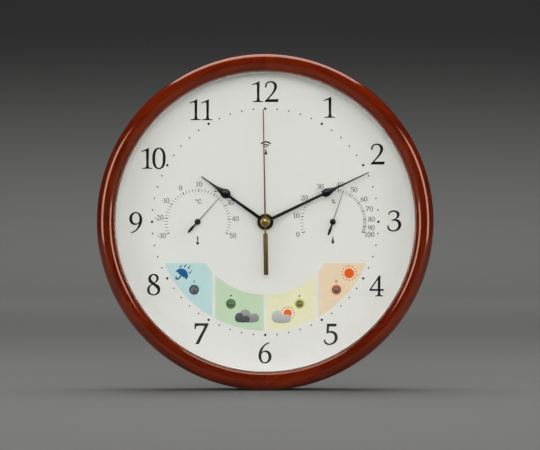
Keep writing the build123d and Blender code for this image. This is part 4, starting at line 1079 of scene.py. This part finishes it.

# %% [markdown]
# ## Studio
# The clock stands upright on a plain pale paper floor, which curves up far behind it. The paper's
# colour is painted darker towards its top, a painted shade for the light falling off with height.
# Two tall soft boxes stand left and right of the camera and draw the long highlights on the ring's
# sides. A wide one hangs above and behind the clock and draws the highlight along the ring's top. A
# large one far above softens the shadow under the foot, one above the camera fills the shade inside
# the ring's lip, and a last one lights the paper behind. As polarised light does, these three leave
# no highlight in gloss.

# %% Floor and backdrop
FLOOR_Z = cad_low[2]
# The paper's tone darkens with height, a painted shade for the light falling off towards the top of the
# backdrop.
paper_painted_shade_finish = graded("paper_painted_shade", "Z", (-100, 520), ("#7D7D7B", "#353535"), (0, 1), (140, 3),
                      0.03, easing="SMOOTHSTEP", height_mm=0.02, roughness=0.8)
clear_selection()
bpy.ops.mesh.primitive_plane_add(size=1, location=(0, 0, FLOOR_Z))
floor = bpy.context.object
floor.name = "paper_sweep"
floor.scale = (9, 8, 1)
apply_place(floor)
bpy.ops.object.mode_set(mode="EDIT")
bpy.ops.mesh.select_all(action="DESELECT")
bpy.ops.mesh.select_mode(type="EDGE")
sweep = bmesh.from_edit_mesh(floor.data)
for edge in sweep.edges:
    if all(v.co.y > 3.9 for v in edge.verts):
        edge.select_set(True)
bmesh.update_edit_mesh(floor.data)
steps = [(0, 0.16 * cos(k * pi / 16), 0.16 * sin(k * pi / 16)) for k in range(1, 9)]
for step in steps + [(0, 0, 3.0)]:
    bpy.ops.mesh.extrude_region_move(TRANSFORM_OT_translate={"value": step})
bpy.ops.object.mode_set(mode="OBJECT")
floor.data.materials.append(paper_painted_shade_finish)
smooth(floor, 60)

# %% Camera at the photograph's view
IMAGE = (540, 450)
CLOCK_PX = (265.2, 221.8)
CLOCK_RADIUS_PX = 168.4
CAMERA_AT = 3.0
SENSOR = 36.0
rim_distance = CAMERA_AT - LIP_DEPTH * MM
px = RING_R * MM / CLOCK_RADIUS_PX
camera_data = bpy.data.cameras.new("studio_camera")
camera_data.sensor_fit = "HORIZONTAL"
camera_data.sensor_width = SENSOR
camera_data.lens = SENSOR * rim_distance / (px * IMAGE[0])
camera = bpy.data.objects.new("studio_camera", camera_data)
bpy.context.scene.collection.objects.link(camera)
camera.location = ((IMAGE[0] / 2 - CLOCK_PX[0]) * px, -CAMERA_AT,
                   (CLOCK_PX[1] - IMAGE[1] / 2) * px)
camera.rotation_euler = (pi / 2, 0, 0)
bpy.context.scene.camera = camera
print("lens", round(camera_data.lens, 1), "mm")

# %% Soft boxes
def soft_box(name, place, size, power, target=(0, 0, 0), mirrored_in_gloss=True):
    """An area light that faces a point."""
    lamp = bpy.data.lights.new(name, "AREA")
    lamp.shape = "RECTANGLE"
    lamp.size, lamp.size_y = size
    lamp.energy = power
    box = bpy.data.objects.new(name, lamp)
    bpy.context.scene.collection.objects.link(box)
    box.location = place
    box.rotation_euler = (Vector(target) - Vector(place)).to_track_quat("-Z", "Y").to_euler()
    box.visible_glossy = mirrored_in_gloss


soft_box("left_box", (-1.35, -1.2, 0.1), (0.65, 1.4), 9.8)
soft_box("right_box", (1.35, -1.2, 0.1), (0.65, 1.4), 9.8)
soft_box("top_box", (0, 0.22, 1.5), (2.0, 1.2), 19)
soft_box("sky_box", (0, 0.6, 2.5), (3.5, 4.5), 14, (0, 0.6, 0), mirrored_in_gloss=False)
soft_box("fill_box", (0, -3.0, 0.9), (1.6, 1.0), 27, mirrored_in_gloss=False)
soft_box("backdrop_box", (0, 3.2, 2.6), (3.5, 0.8), 66, (0, 4.0, 0), mirrored_in_gloss=False)
world = bpy.data.worlds.new("studio_world")
world.use_nodes = True
sky = world.node_tree.nodes["Background"]
sky.inputs["Color"].default_value = linear("#FFFFFF")
sky.inputs["Strength"].default_value = 0.03
bpy.context.scene.world = world
bpy.context.scene.view_settings.view_transform = "Standard"
